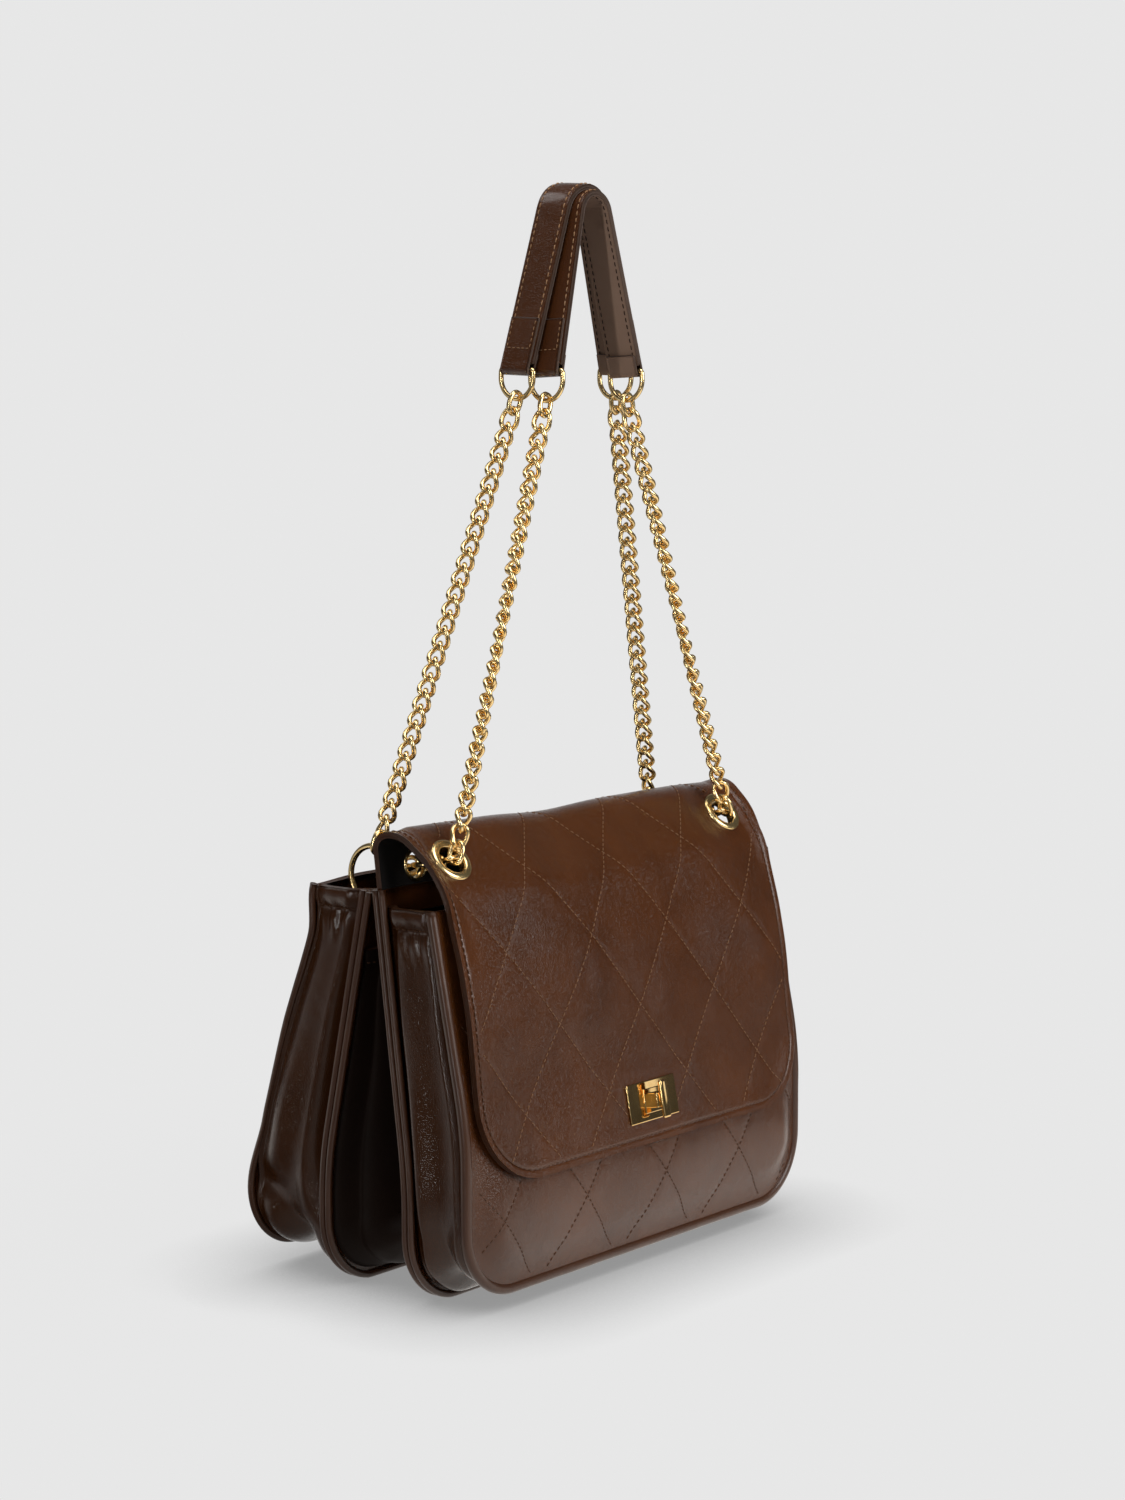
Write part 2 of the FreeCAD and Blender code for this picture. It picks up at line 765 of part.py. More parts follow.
# Turn lock: a plate on the flap, a knob that turns in it, and a keeper box on the front panel.
# The knob's cam stands in line with the keeper's slot, so that the flap can be lifted off.

lock_run = (lock_height - shoulder_corner[1]) / drop_down[1]
lock_centre = vec(0, shoulder_corner[0] + lock_run * drop_down[0], lock_height)
lock_up = vec(0, -drop_down[0], -drop_down[1])
lock_out = vec(0, drop_out[0], drop_out[1])
plate_foot = flap_ply / 2
plate_crown = plate_foot + lock_plate_thickness
back_foot = -flap_ply / 2 - backplate_thickness
stem_hole = stem_radius + stem_play


def on_lock(solid):
    return set_in(solid, lock_centre, lock_up, lock_out)


def centred_box(width, tall, low, high):
    return Part.makeBox(width, tall, high - low, vec(-width / 2, -tall / 2, low))


def stem_drill():
    return Part.makeCylinder(stem_hole, 40 * leather, vec(0, 0, -20 * leather))


def bevelled(solid, low_edge):
    edges = [e for e in solid.Edges if e.BoundBox.ZMin > low_edge]
    return solid.makeChamfer(lock_bevel, edges)


def lock_plate():
    blank = centred_box(lock_width, lock_tall, plate_foot, plate_crown)
    return on_lock(bevelled(blank, plate_crown - lock_bevel / 2).cut(stem_drill()))


def lock_backplate():
    solid = centred_box(backplate_width, backplate_tall, back_foot, -flap_ply / 2)
    return on_lock(solid.cut(stem_drill()))


cam_crown = back_foot - cam_play
cam_foot = cam_crown - 2 * cam_play - keeper_wall - cam_thickness


def turn_knob():
    boss_foot = plate_crown + stem_play
    boss_crown = boss_foot + boss_height
    boss = centred_box(boss_width, boss_tall, boss_foot, boss_crown)
    bar = bevelled(centred_box(bar_width, bar_tall, boss_crown, boss_crown + bar_thickness),
                   boss_crown + bar_thickness - lock_bevel / 2)
    stem_foot = cam_foot + cam_thickness
    stem = Part.makeCylinder(stem_radius, boss_foot - stem_foot, vec(0, 0, stem_foot))
    return on_lock(boss.fuse([bar, stem]).removeSplitter())


def knob_cam():
    return on_lock(centred_box(cam_width, cam_tall, cam_foot, cam_foot + cam_thickness))


# The keeper is let into the front panel and is open above its slot, so that the cam can turn under its lips.

def keeper_window():
    return on_lock(centred_box(keeper_width + 2 * seam_gap, keeper_tall + 2 * seam_gap, -4 * leather, 0))


def keeper():
    lip_crown = cam_foot + cam_thickness + cam_play + keeper_wall
    lip_foot = lip_crown - keeper_wall
    floor_crown = cam_foot - cam_play
    box = centred_box(keeper_width, keeper_tall, floor_crown - keeper_wall, lip_crown)
    room = Part.makeCylinder(cam_tall / 2 + keeper_wall, lip_foot - floor_crown, vec(0, 0, floor_crown))
    slot = centred_box(cam_width + 4 * cam_play, cam_tall + 4 * cam_play, floor_crown, lip_crown + leather)
    return on_lock(box.cut(room).cut(slot))


# Build

nodes = {}

inner_face = leather / 2
nodes["front_panel"] = plate(front, -inner_face, inner_face, trim_inset).cut(keeper_window()).Solids[0]
nodes["divider_front"] = plate(divider_front, -inner_face, inner_face, divider_inset)
nodes["divider_rear"] = plate(divider_rear, -inner_face, inner_face, divider_inset)
nodes["back_panel"] = plate(back, -inner_face, inner_face, trim_inset)

nodes["front_piping"] = piping(front, 0, piping_radius)
nodes["divider_front_piping"] = double_piping(divider_front)
nodes["divider_rear_piping"] = double_piping(divider_rear)
nodes["back_piping"] = piping(back, 0, piping_radius)

nodes["front_gusset"] = gusset(front, lowered(divider_front, divider_front_top - front_top), gusset_drop,
                               front_fold_top)
nodes["middle_gusset"] = gusset(divider_front, divider_rear, middle_gusset_drop, middle_fold_top)
nodes["rear_gusset"] = gusset(divider_rear, back, gusset_drop, rear_fold_top)

lining_foot = inner_face + ply_gap
lining_crown = lining_foot + lining
nodes["front_lining"] = plate(lowered(front, lining_drop), lining_foot, lining_crown, lining_inset)
nodes["divider_front_lining"] = plate(lowered(divider_front, lining_drop), -lining_crown, -lining_foot,
                                      lining_inset)
nodes["divider_rear_lining"] = plate(lowered(divider_rear, lining_drop), lining_foot, lining_crown,
                                     lining_inset)
nodes["back_lining"] = plate(lowered(back, lining_drop), -lining_crown, -lining_foot, lining_inset)

nodes["flap_bridge"] = pierced(flap_half(*leather_ply, -1)).Solids[0]
nodes["bridge_lining"] = pierced(flap_half(*lining_ply, -1)).Solids[0]
lock_hole = on_lock(stem_drill())
nodes["flap"] = flap_half(*leather_ply, 1).cut(lock_hole).Solids[0]
nodes["flap_lining"] = flap_half(*lining_ply, 1).cut(lock_hole).Solids[0]

for side, word in ((-1, "left"), (1, "right")):
    nodes["front_eyelet_" + word] = front_eyelet_seat(eyelet(front_bore, front_flange), side)
    nodes["front_washer_" + word] = front_eyelet_seat(washer(front_bore, front_flange), side)
    nodes["rear_eyelet_" + word] = rear_eyelet_seat(eyelet(rear_bore, rear_flange), side)
    nodes["rear_washer_" + word] = rear_eyelet_seat(washer(rear_bore, rear_flange), side)
    nodes["tail_chain_" + word] = Part.makeCompound(tail(side))
    nodes["stop_ring_" + word] = ring(side)
    start, end = front_strand_points(side)
    nodes["front_chain_" + word] = Part.makeCompound(strand(start, end, front_links, 0.0))
    nodes["front_dring_" + word] = leaned(dring(dring_centre(end)), dring_centre(end), -pad_lean)
    front_hub = dring_centre(end)
    start, end = rear_strand_points(side)
    nodes["rear_chain_" + word] = Part.makeCompound(strand(start, end, rear_links, math.pi / 2))
    nodes["rear_dring_" + word] = leaned(dring(dring_centre(end)), dring_centre(end), pad_lean)
    rear_hub = dring_centre(end)

pad_inner = (-pad_ply / 2, -pad_ply / 2 + pad_lining)
pad_outer = (pad_ply / 2 - pad_leather, pad_ply / 2)
front_crown = pad_peak(front_hub, front_pad_angle) - pad_crown_radius * crown_cut(front_pad_angle)
rear_crown_radius = ((pad_peak(rear_hub, rear_pad_angle) - front_crown - pad_nest)
                     / crown_cut(rear_pad_angle))
for word, hub, slant, crown, lean in (("front", front_hub, front_pad_angle, pad_crown_radius, -pad_lean),
                                      ("rear", rear_hub, rear_pad_angle, rear_crown_radius, pad_lean)):
    nodes[word + "_pad"] = leaned(pad_layer(hub, slant, crown, *pad_outer), hub, lean)
    nodes[word + "_pad_lining"] = leaned(pad_layer(hub, slant, crown, *pad_inner), hub, lean)
    for side, hand in ((-1, "left"), (1, "right")):
        nodes[word + "_tab_" + hand] = leaned(tab(hub, slant, side), hub, lean)

nodes["lock_plate"] = lock_plate()
nodes["lock_backplate"] = lock_backplate()
nodes["turn_knob"] = turn_knob()
nodes["knob_cam"] = knob_cam()
nodes["keeper"] = keeper()

# The origin lies under the middle of the bag: half way from the knob's face to the back piping.
middle_y = (nodes["turn_knob"].BoundBox.YMin + nodes["back_piping"].BoundBox.YMax) / 2
os.makedirs("parts", exist_ok=True)
for name, solid in nodes.items():
    solid.translate(vec(0, -middle_y, 0))
    solid.exportStep("parts/" + name + ".step")

print("nodes", len(nodes), "shift", round(-middle_y, 4))
print("flap hinge y z", round(hinge_y - middle_y, 4), round(hinge_z, 4))
pivot = front_pivot(1)
print("front chain pivot y z", round(pivot.y - middle_y, 4), round(pivot.z, 4))
centre = ring_place(1, ring_hang)
print("rear chain pivot y z", round(centre.y - middle_y, 4), round(centre.z, 4))
print("front pad pivot y z", round(front_hub.y - middle_y, 4), round(front_hub.z, 4))
print("rear pad pivot y z", round(rear_hub.y - middle_y, 4), round(rear_hub.z, 4))
print("knob axis", [round(v, 5) for v in lock_out], "at", round(lock_centre.y - middle_y, 4), lock_height)
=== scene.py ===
import math
import bpy
import numpy as np
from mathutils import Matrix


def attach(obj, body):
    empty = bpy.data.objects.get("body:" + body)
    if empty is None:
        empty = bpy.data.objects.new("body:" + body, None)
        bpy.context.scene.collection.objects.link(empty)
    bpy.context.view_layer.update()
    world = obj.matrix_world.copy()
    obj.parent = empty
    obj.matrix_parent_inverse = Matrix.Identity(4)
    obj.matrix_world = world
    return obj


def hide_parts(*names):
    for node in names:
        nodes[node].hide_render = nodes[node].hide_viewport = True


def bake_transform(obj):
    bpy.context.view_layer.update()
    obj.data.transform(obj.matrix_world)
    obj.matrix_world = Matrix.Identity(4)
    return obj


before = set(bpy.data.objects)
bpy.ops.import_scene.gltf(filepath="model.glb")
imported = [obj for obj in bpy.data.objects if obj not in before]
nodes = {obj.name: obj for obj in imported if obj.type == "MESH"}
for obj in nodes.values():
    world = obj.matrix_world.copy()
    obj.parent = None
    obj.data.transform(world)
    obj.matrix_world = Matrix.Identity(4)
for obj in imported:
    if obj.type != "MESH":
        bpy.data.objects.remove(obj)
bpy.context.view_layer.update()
shiftY = -0.8258  # from the working frame below to the part's origin, mm
mm = 0.001  # in metres
pi = math.pi
forward, backward = (0, -1, 0), (0, 1, 0)
hands = ((-1, "left"), (1, "right"))


def makeMesh(name, points, faceSets, materials, slots=None, uv=None):
    mesh = bpy.data.meshes.new(name)
    place = (np.asarray(points, float).reshape(-1, 3) + [0, shiftY, 0]) * mm
    mesh.from_pydata(place.tolist(), [], [f for part in faceSets for f in part.tolist()])
    for item in materials:
        mesh.materials.append(item)
    if slots is not None:
        index = np.concatenate([np.full(len(f), s, np.int32) for f, s in zip(faceSets, slots)])
        mesh.polygons.foreach_set("material_index", index)
    mesh.polygons.foreach_set("use_smooth", np.ones(len(mesh.polygons), bool))
    if uv is not None:
        layer = mesh.uv_layers.new(name="UVMap")
        corner = np.zeros(len(mesh.loops), np.int32)
        mesh.loops.foreach_get("vertex_index", corner)
        layer.data.foreach_set("uv", np.asarray(uv, np.float32).reshape(-1, 2)[corner].ravel())
    mesh.update()
    piece = bpy.data.objects.new(name, mesh)
    bpy.context.scene.collection.objects.link(piece)
    return piece


def dress(piece, owner, node):
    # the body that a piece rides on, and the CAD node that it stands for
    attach(piece, owner)
    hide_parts(node)


def camel(node):
    first, *rest = node.split("_")
    return first + "".join(word.title() for word in rest)


def unit(v):
    return v / np.maximum(np.linalg.norm(v, axis=-1, keepdims=True), 1e-9)


def gridNormal(grid):
    return unit(np.cross(np.gradient(grid, axis=1), np.gradient(grid, axis=0)))


def smooth(x, low, high):
    # 0 up to low, 1 from high on, an S between
    t = np.clip((x - low) / (high - low), 0, 1)
    return t * t * (3 - 2 * t)


def bell(x, centre, spread):
    return np.exp(-((x - centre) / spread) ** 2)


def waves(x, s, terms):
    # a sum of slanted sines: height, length across and length along of each
    return sum(size * np.sin(x / wide + s / tall) for size, wide, tall in terms)


def runLength(path):
    # distance run along a path, at each of its points
    return np.concatenate([[0], np.cumsum(np.linalg.norm(np.diff(path, axis=0), axis=1))])


def readAt(want, gap, values):
    return np.stack([np.interp(want, gap, column) for column in values.T], -1)


def spokes(first, second, count):
    # directions round a circle that two unit vectors span, at each station of a path
    turn = np.linspace(0, 2 * pi, count, endpoint=False)
    return first[:, None] * np.cos(turn)[None, :, None] + second[:, None] * np.sin(turn)[None, :, None]


def quadsOf(index):
    return np.stack([index[:-1, :-1], index[:-1, 1:], index[1:, 1:], index[1:, :-1]], -1).reshape(-1, 4)


def hoopQuads(rows, sides, ring=False):
    # faces closed round a wire, and for a ring along it too
    index = np.arange(rows * sides).reshape(rows, sides)
    if ring:
        index = np.concatenate([index, index[:1]])
    return quadsOf(np.concatenate([index, index[:, :1]], 1))


def copied(faces, size, count):
    # the faces of one small part, for many copies of it
    return (faces[None] + size * np.arange(count)[:, None, None]).reshape(-1, 4)


def slab(name, middle, thick, materials, outward, at, uv, edge, drop=None):
    # a sheet with thickness: the middle surface moved half the thickness each way, closed by a rounded rim
    normal = gridNormal(middle)
    if np.dot(normal[at], outward) < 0:
        normal = -normal
    half = (np.asarray(thick, float) / 2 * np.ones(middle.shape[:2]))[..., None]
    outer, inner = middle + normal * half, middle - normal * half
    rows, cols = middle.shape[:2]
    count = rows * cols
    index = np.arange(count).reshape(rows, cols)
    faces = quadsOf(index)
    if drop is not None:
        faces = faces[~drop[faces].all(1)]
    ring = np.concatenate([index[0, :-1], index[:-1, -1], index[-1, :0:-1], index[:0:-1, 0]])
    inside = np.concatenate([index[1, :-1], index[:-1, -2], index[-2, :0:-1], index[:0:-1, 1]])
    flat, flatUv = middle.reshape(-1, 3), uv.reshape(-1, 2)
    away = unit(flat[ring] - flat[inside])
    rim = flat[ring] + away * half.reshape(-1, 1)[ring] * 2 * edge
    step = np.roll(np.arange(len(ring)), -1)
    rimIndex = 2 * count + np.arange(len(ring))
    upper = np.stack([ring, rimIndex, rimIndex[step], ring[step]], -1)
    lower = np.stack([rimIndex, ring + count, ring[step] + count, rimIndex[step]], -1)
    points = np.concatenate([outer.reshape(-1, 3), inner.reshape(-1, 3), rim])
    piece = makeMesh(name, points, [faces[:, ::-1], faces + count, np.concatenate([upper, lower])],
                     materials, (0, 1, 2), np.concatenate([flatUv, flatUv, flatUv[ring]]))
    return piece, {"outer": outer, "inner": inner, "normal": normal}


def tube(name, path, radius, sides, material, reference):
    # a round rod: circles set square to a path, closed by caps
    run = unit(np.gradient(path, axis=0))
    across = unit(np.cross(run, reference))
    points = path[:, None] + spokes(across, np.cross(across, run), sides) * radius[:, None, None]
    index = np.arange(len(path) * sides).reshape(-1, sides)
    turn = np.linspace(0, 2 * pi, sides, endpoint=False)
    uv = np.stack(np.meshgrid(turn, runLength(path)), -1) * mm
    faceSets = [hoopQuads(len(path), sides), index[:1], index[-1:, ::-1]]
    return makeMesh(name, points, faceSets, [material], None, uv)


# One stitch from end to end, in shares of its half length and of the thread's radius
stitch = {"along": (-1, -0.72, 0, 0.72, 1), "width": (0.25, 0.8, 1, 0.8, 0.25),
          "rise": (-0.9, 0.1, 0.5, 0.1, -0.9), "sides": 6}
# Seams: pitch, stitch length and thread radius, mm
seams = {"quilt": (3.0, 2.3, 0.28), "hem": (3.2, 2.6, 0.28), "flapEdge": (3.2, 2.6, 0.26),
         "pad": (3.3, 2.574, 0.3), "tab": (2.4, 1.9, 0.22)}


def resampled(path, normal, pitch):
    # evenly spaced spots on a line, with the surface's normal and the line's direction there
    gap = runLength(path)
    count = max(int(gap[-1] / pitch), 1)
    want = (np.arange(count) + 0.5) * gap[-1] / count
    runs = readAt(want, gap, np.gradient(path, gap, axis=0))
    return readAt(want, gap, path), unit(readAt(want, gap, normal)), unit(runs)


def stitches(name, lines, seam, material):
    # thread: one small rounded rod per stitch, bowed so that its ends sink into the leather
    pitch, length, radius = seams[seam]
    spots, ups, runs = (np.concatenate(part) for part in zip(*[resampled(p, n, pitch) for p, n in lines]))
    sideways = unit(np.cross(ups, runs))
    ups = np.cross(runs, sideways)
    along = np.array(stitch["along"]) * length / 2
    width, rise = (np.array(stitch[key]) * radius for key in ("width", "rise"))
    turn = np.linspace(0, 2 * pi, stitch["sides"], endpoint=False)
    local = np.stack([along[:, None] + 0 * turn, width[:, None] * np.cos(turn),
                      width[:, None] * np.sin(turn) + rise[:, None]], -1).reshape(-1, 3)
    basis = np.stack([runs, sideways, ups], 1)
    points = spots[:, None] + np.einsum("kj,njd->nkd", local, basis)
    one = hoopQuads(len(along), stitch["sides"])
    return makeMesh(name, points, [copied(one, len(local), len(spots))], [material])


def columnShares(count, crowd=0.3):
    # places of a sheet's columns across its half width, closer together towards the sides
    even = np.linspace(-1, 1, count)
    return even * (1 + crowd - crowd * even ** 2)


def onGrid(sheet, x, s):
    # a point and its normal on a sheet's outer face, from a distance across and a distance along
    row = np.interp(s, sheet["rows"], np.arange(len(sheet["rows"])))
    shares = columnShares(sheet["outer"].shape[1])
    col = np.interp(x / np.interp(s, sheet["rows"], sheet["half"]), shares, np.arange(len(shares)))
    r0 = np.clip(row.astype(int), 0, sheet["outer"].shape[0] - 2)
    c0 = np.clip(col.astype(int), 0, sheet["outer"].shape[1] - 2)
    fr, fc = np.clip(row - r0, 0, 1)[:, None], np.clip(col - c0, 0, 1)[:, None]

    def mix(grid):
        low = grid[r0, c0] * (1 - fc) + grid[r0, c0 + 1] * fc
        high = grid[r0 + 1, c0] * (1 - fc) + grid[r0 + 1, c0 + 1] * fc
        return low * (1 - fr) + high * fr

    return mix(sheet["outer"]), unit(mix(sheet["normal"]))


def newMaterial(name):
    item = bpy.data.materials.new(name)
    item.use_nodes = True
    tree = item.node_tree
    return item, tree, tree.nodes["Principled BSDF"]


def setInputs(tree, node, inputs):
    for key, value in inputs.items():
        if isinstance(value, bpy.types.NodeSocket):
            tree.links.new(value, node.inputs[key])
        else:
            node.inputs[key].default_value = value


def addNode(tree, kind, inputs=None, **fields):
    node = tree.nodes.new("ShaderNode" + kind)
    for key, value in fields.items():
        setattr(node, key, value)
    setInputs(tree, node, inputs or {})
    return node


def placeOf(tree, space):
    return addNode(tree, "TexCoord").outputs[space]


def noise(tree, where, scale, detail, roughness=0.5, distortion=0.0):
    return addNode(tree, "TexNoise", {"Vector": where, "Scale": scale, "Detail": detail, "Roughness": roughness,
                                      "Distortion": distortion}).outputs


def mapped(tree, value, low, high, toLow=0.0, toHigh=1.0, kind="LINEAR"):
    return addNode(tree, "MapRange", {"Value": value, "From Min": low, "From Max": high, "To Min": toLow,
                                      "To Max": toHigh}, interpolation_type=kind).outputs[0]


def maths(tree, operation, a, b):
    return addNode(tree, "Math", {0: a, 1: b}, operation=operation).outputs[0]


def toneBetween(tree, share, dark, light):
    return addNode(tree, "Mix", {"Factor": share, 6: (*dark, 1), 7: (*light, 1)}, data_type="RGBA").outputs[2]


# Leather: repeats per metre of each pattern, and depths in metres
grainLook = {"warp": 320.0, "warpReach": 0.0012, "cells": 1050.0, "cellEdge": 0.22, "pores": 2600.0,
             "creases": 85.0, "creaseShare": 1.4, "mottle": 26.0, "swell": 110.0, "swellStrength": 0.6,
             "swellDepth": 0.0004, "depth": 0.00006}


def grainGroup():
    # leather grain: small cells with soft edges, finer pores, and slow mottling for the colour
    group = bpy.data.node_groups.new("leatherGrain", "ShaderNodeTree")
    group.interface.new_socket("Vector", in_out="INPUT", socket_type="NodeSocketVector")
    for word in ("Height", "Mottle", "Wear"):
        group.interface.new_socket(word, in_out="OUTPUT", socket_type="NodeSocketFloat")
    where = group.nodes.new("NodeGroupInput").outputs["Vector"]
    end = group.nodes.new("NodeGroupOutput")
    warp = noise(group, where, grainLook["warp"], 2.0)["Color"]
    spread = addNode(group, "VectorMath", {0: warp, "Scale": grainLook["warpReach"]}, operation="SCALE")
    moved = addNode(group, "VectorMath", {0: where, 1: spread.outputs[0]}, operation="ADD")
    cells = addNode(group, "TexVoronoi", {"Vector": moved.outputs[0], "Scale": grainLook["cells"]},
                    feature="DISTANCE_TO_EDGE")
    rounded = mapped(group, cells.outputs["Distance"], 0.0, grainLook["cellEdge"], kind="SMOOTHSTEP")
    pores = noise(group, where, grainLook["pores"], 3.0)["Fac"]
    creases = noise(group, where, grainLook["creases"], 5.0, 0.55, 0.2)["Fac"]
    slow = maths(group, "MULTIPLY", creases, grainLook["creaseShare"])
    total = maths(group, "ADD", maths(group, "ADD", rounded, pores), slow)
    mottle = noise(group, where, grainLook["mottle"], 6.0, 0.6)["Fac"]
    setInputs(group, end, {"Height": total, "Mottle": mottle, "Wear": creases})
    return group


grain = grainGroup()


def leather(name, dark, light, rough, bump, coat, specular=0.36):
    item, tree, shader = newMaterial(name)
    where = placeOf(tree, "Object")
    skin = addNode(tree, "Group", {"Vector": where}, node_tree=grain).outputs
    soft = noise(tree, where, grainLook["swell"], 1.0)["Fac"]
    swell = addNode(tree, "Bump", {"Height": soft, "Strength": grainLook["swellStrength"],
                                   "Distance": grainLook["swellDepth"]})
    relief = addNode(tree, "Bump", {"Height": skin["Height"], "Strength": bump,
                                    "Distance": grainLook["depth"], "Normal": swell.outputs[0]})
    share = mapped(tree, skin["Mottle"], 0.1, 0.9)
    setInputs(tree, shader, {"Base Color": toneBetween(tree, share, dark, light),
                             "Roughness": mapped(tree, skin["Wear"], 0.1, 0.9, *rough),
                             "Normal": relief.outputs[0], "Specular IOR Level": specular,
                             "Coat Weight": coat[0], "Coat Roughness": coat[1]})
    return item


def metal(name, dark, light, rough):
    item, tree, shader = newMaterial(name)
    where = placeOf(tree, "Object")
    tarnish = mapped(tree, noise(tree, where, 180.0, 4.0)["Fac"], 0.35, 0.65)
    brushed = mapped(tree, noise(tree, where, 900.0, 2.0)["Fac"], 0.0, 1.0, *rough)
    setInputs(tree, shader, {"Base Color": toneBetween(tree, tarnish, dark, light), "Roughness": brushed,
                             "Metallic": 1.0})
    return item


def cloth(name, dark, light, threads):
    # woven lining: two crossing sets of fine ribs
    item, tree, shader = newMaterial(name)
    where = placeOf(tree, "UV")
    ribs = [addNode(tree, "TexWave", {"Vector": where, "Scale": threads, "Distortion": 0.6, "Detail": 1.0},
                    bands_direction=way).outputs["Fac"] for way in ("X", "Y")]
    weave = maths(tree, "MULTIPLY", *ribs)
    relief = addNode(tree, "Bump", {"Height": weave, "Strength": 0.5, "Distance": 0.0001})
    setInputs(tree, shader, {"Base Color": toneBetween(tree, weave, dark, light), "Normal": relief.outputs[0],
                             "Roughness": 0.85, "Specular IOR Level": 0.15})
    return item


def thread(name, colour):
    item, tree, shader = newMaterial(name)
    twist = noise(tree, placeOf(tree, "Object"), 1500.0, 2.0)["Fac"]
    setInputs(tree, shader, {"Base Color": toneBetween(tree, twist, [c * 0.6 for c in colour], colour),
                             "Roughness": 0.6, "Specular IOR Level": 0.15})
    return item


# Leathers: two tones, range of roughness, grain, then weight and roughness of the gloss coat
hide = leather("hide", (0.038, 0.0108, 0.0026), (0.09, 0.0272, 0.0068), (0.08, 0.2), 0.8, (0.1, 0.08))
# the gussets' hide: the panel leather made darker, painted shade for the sides that face away from the light
softHide = leather("softHide", (0.026, 0.0078, 0.002), (0.056, 0.018, 0.0048), (0.08, 0.17), 0.7, (0.1, 0.08))
edgeHide = leather("edgeHide", (0.036, 0.0122, 0.0044), (0.066, 0.0228, 0.008), (0.28, 0.46), 0.4, (0.2, 0.2))
padHide = leather("padHide", (0.046, 0.0142, 0.0042), (0.09, 0.029, 0.0086), (0.14, 0.28), 0.9, (0.3, 0.12))
# the pads' suede lining, several times lighter than its own colour: painted light on inner faces that the lamps
# leave in shade
padSuede = leather("padSuede", (0.24, 0.15, 0.104), (0.31, 0.2, 0.142), (0.75, 0.95), 0.4, (0.0, 0.5))
# the middle gusset's hide: nearly black with little gloss, painted shade for the deep fold between the
# compartments
foldHide = leather("foldHide", (0.005, 0.0024, 0.0014), (0.011, 0.0048, 0.0026), (0.5, 0.65), 0.4, (0.0, 0.3),
                   specular=0.1)
# painted edges: their own dark brown, made lighter as a painted highlight along the edges
edgePaint = leather("edgePaint", (0.055, 0.033, 0.023), (0.085, 0.052, 0.037), (0.35, 0.5), 0.15, (0.0, 0.5))
lockGold = metal("lockGold", (0.74, 0.48, 0.19), (0.84, 0.58, 0.26), (0.07, 0.1))
gold = metal("gold", (0.86, 0.61, 0.27), (0.95, 0.73, 0.37), (0.2, 0.3))
liningCloth = cloth("liningCloth", (0.006, 0.005, 0.0048), (0.017, 0.0135, 0.012), 900.0)
darkThread = thread("darkThread", (0.022, 0.009, 0.005))
brownThread = thread("brownThread", (0.085, 0.04, 0.022))
quiltThread = thread("quiltThread", (0.2, 0.1, 0.05))
tanThread = thread("tanThread", (0.36, 0.2, 0.1))
print("materials", len(bpy.data.materials))

# Body, mm. Each panel: foot y, foot z, knee z, top y, top z
body = {"half": 130.0, "corner": 34.0, "kneeReach": 18.0, "leather": 2.4, "panelInset": 3.3,
        "dividerInset": 3.0, "rimFlat": 3.5, "topFade": (-4, 10), "frontPipe": 2.6, "backPipe": 1.7,
        "pipeInset": 2.6, "doublePipe": 1.7, "pipeGap": 0.1, "front": (-59.5, 7.0, 85.0, -39.475, 184.0),
        "dividerFront": (-25.5, -0.4, 60.0, -8.8, 191.0), "dividerRear": (25.5, -0.4, 60.0, -1.3, 190.0),
        "back": (74.5, 7.0, 66.0, 35.0, 190.0)}


def leanOf(shape):
    return math.atan2(shape[3] - shape[0], shape[4] - shape[2])


def lowered(shape, drop):
    return (*shape[:3], shape[3] - drop * math.tan(leanOf(shape)), shape[4] - drop)


def centreLine(shape, z):
    # side view: upright, an arc round the knee, then straight to the top
    lean = leanOf(shape)
    bend = body["kneeReach"] / math.tan(abs(lean) / 2)
    above = z - (shape[2] - body["kneeReach"])
    rise = np.clip(above, 0, bend * math.sin(abs(lean)))
    over = np.maximum(above - bend * math.sin(abs(lean)), 0)
    y = bend - np.sqrt(bend ** 2 - rise ** 2) + over * math.tan(abs(lean))
    return shape[0] + math.copysign(1, lean) * y, math.copysign(1, lean) * np.arcsin(rise / bend)


def outlineRows(low, high, half, corner, cornerRows, sideRows):
    # heights and half widths of a sheet with two rounded lower corners
    turn = np.linspace(0, pi / 2, cornerRows)
    upper = np.linspace(low + corner, high, sideRows)[1:]
    rows = np.concatenate([low + corner * (1 - np.cos(turn)), upper])
    return rows, np.concatenate([half - corner + corner * np.sin(turn), np.full(len(upper), half)])


quilt = {"wide": 60.0, "tall": 74.0, "depth": 0.2, "width": 1.3, "puff": 0.2, "puffReach": 15.0, "margin": 5.5,
         "step": 0.5, "shortest": 12}


def quiltRelief(x, s, startX, startS):
    # height from the distance to the nearest stitched line: a narrow crease, and a soft pillow between
    across, along = (x - startX) / quilt["wide"], (s - startS) / quilt["tall"]
    scale = quilt["wide"] * quilt["tall"] / math.hypot(quilt["wide"], quilt["tall"])
    near = np.min([np.abs(f - np.round(f)) for f in (across + along, across - along)], axis=0) * scale
    pillow = quilt["puff"] * (1 - bell(near, 0, quilt["puffReach"]))
    return pillow - quilt["depth"] * bell(near, 0, quilt["width"])


def quiltLines(sheet, startX, startS, low, high, allowed=None):
    # the stitched lines of both families, cut to the parts where stitches are allowed
    lines = []
    s = np.arange(low, high, quilt["step"])
    for lean in (-1, 1):
        for number in range(-8, 9):
            x = startX + quilt["wide"] * (number + lean * (s - startS) / quilt["tall"])
            good = np.abs(x) < np.interp(s, sheet["rows"], sheet["half"]) - quilt["margin"]
            if allowed:
                good &= allowed(x, s)
            cuts = np.flatnonzero(np.diff(good.astype(int))) + 1
            for part in np.split(np.arange(len(s)), cuts):
                if good[part[0]] and len(part) > quilt["shortest"]:
                    lines.append(onGrid(sheet, x[part], s[part]))
    return lines


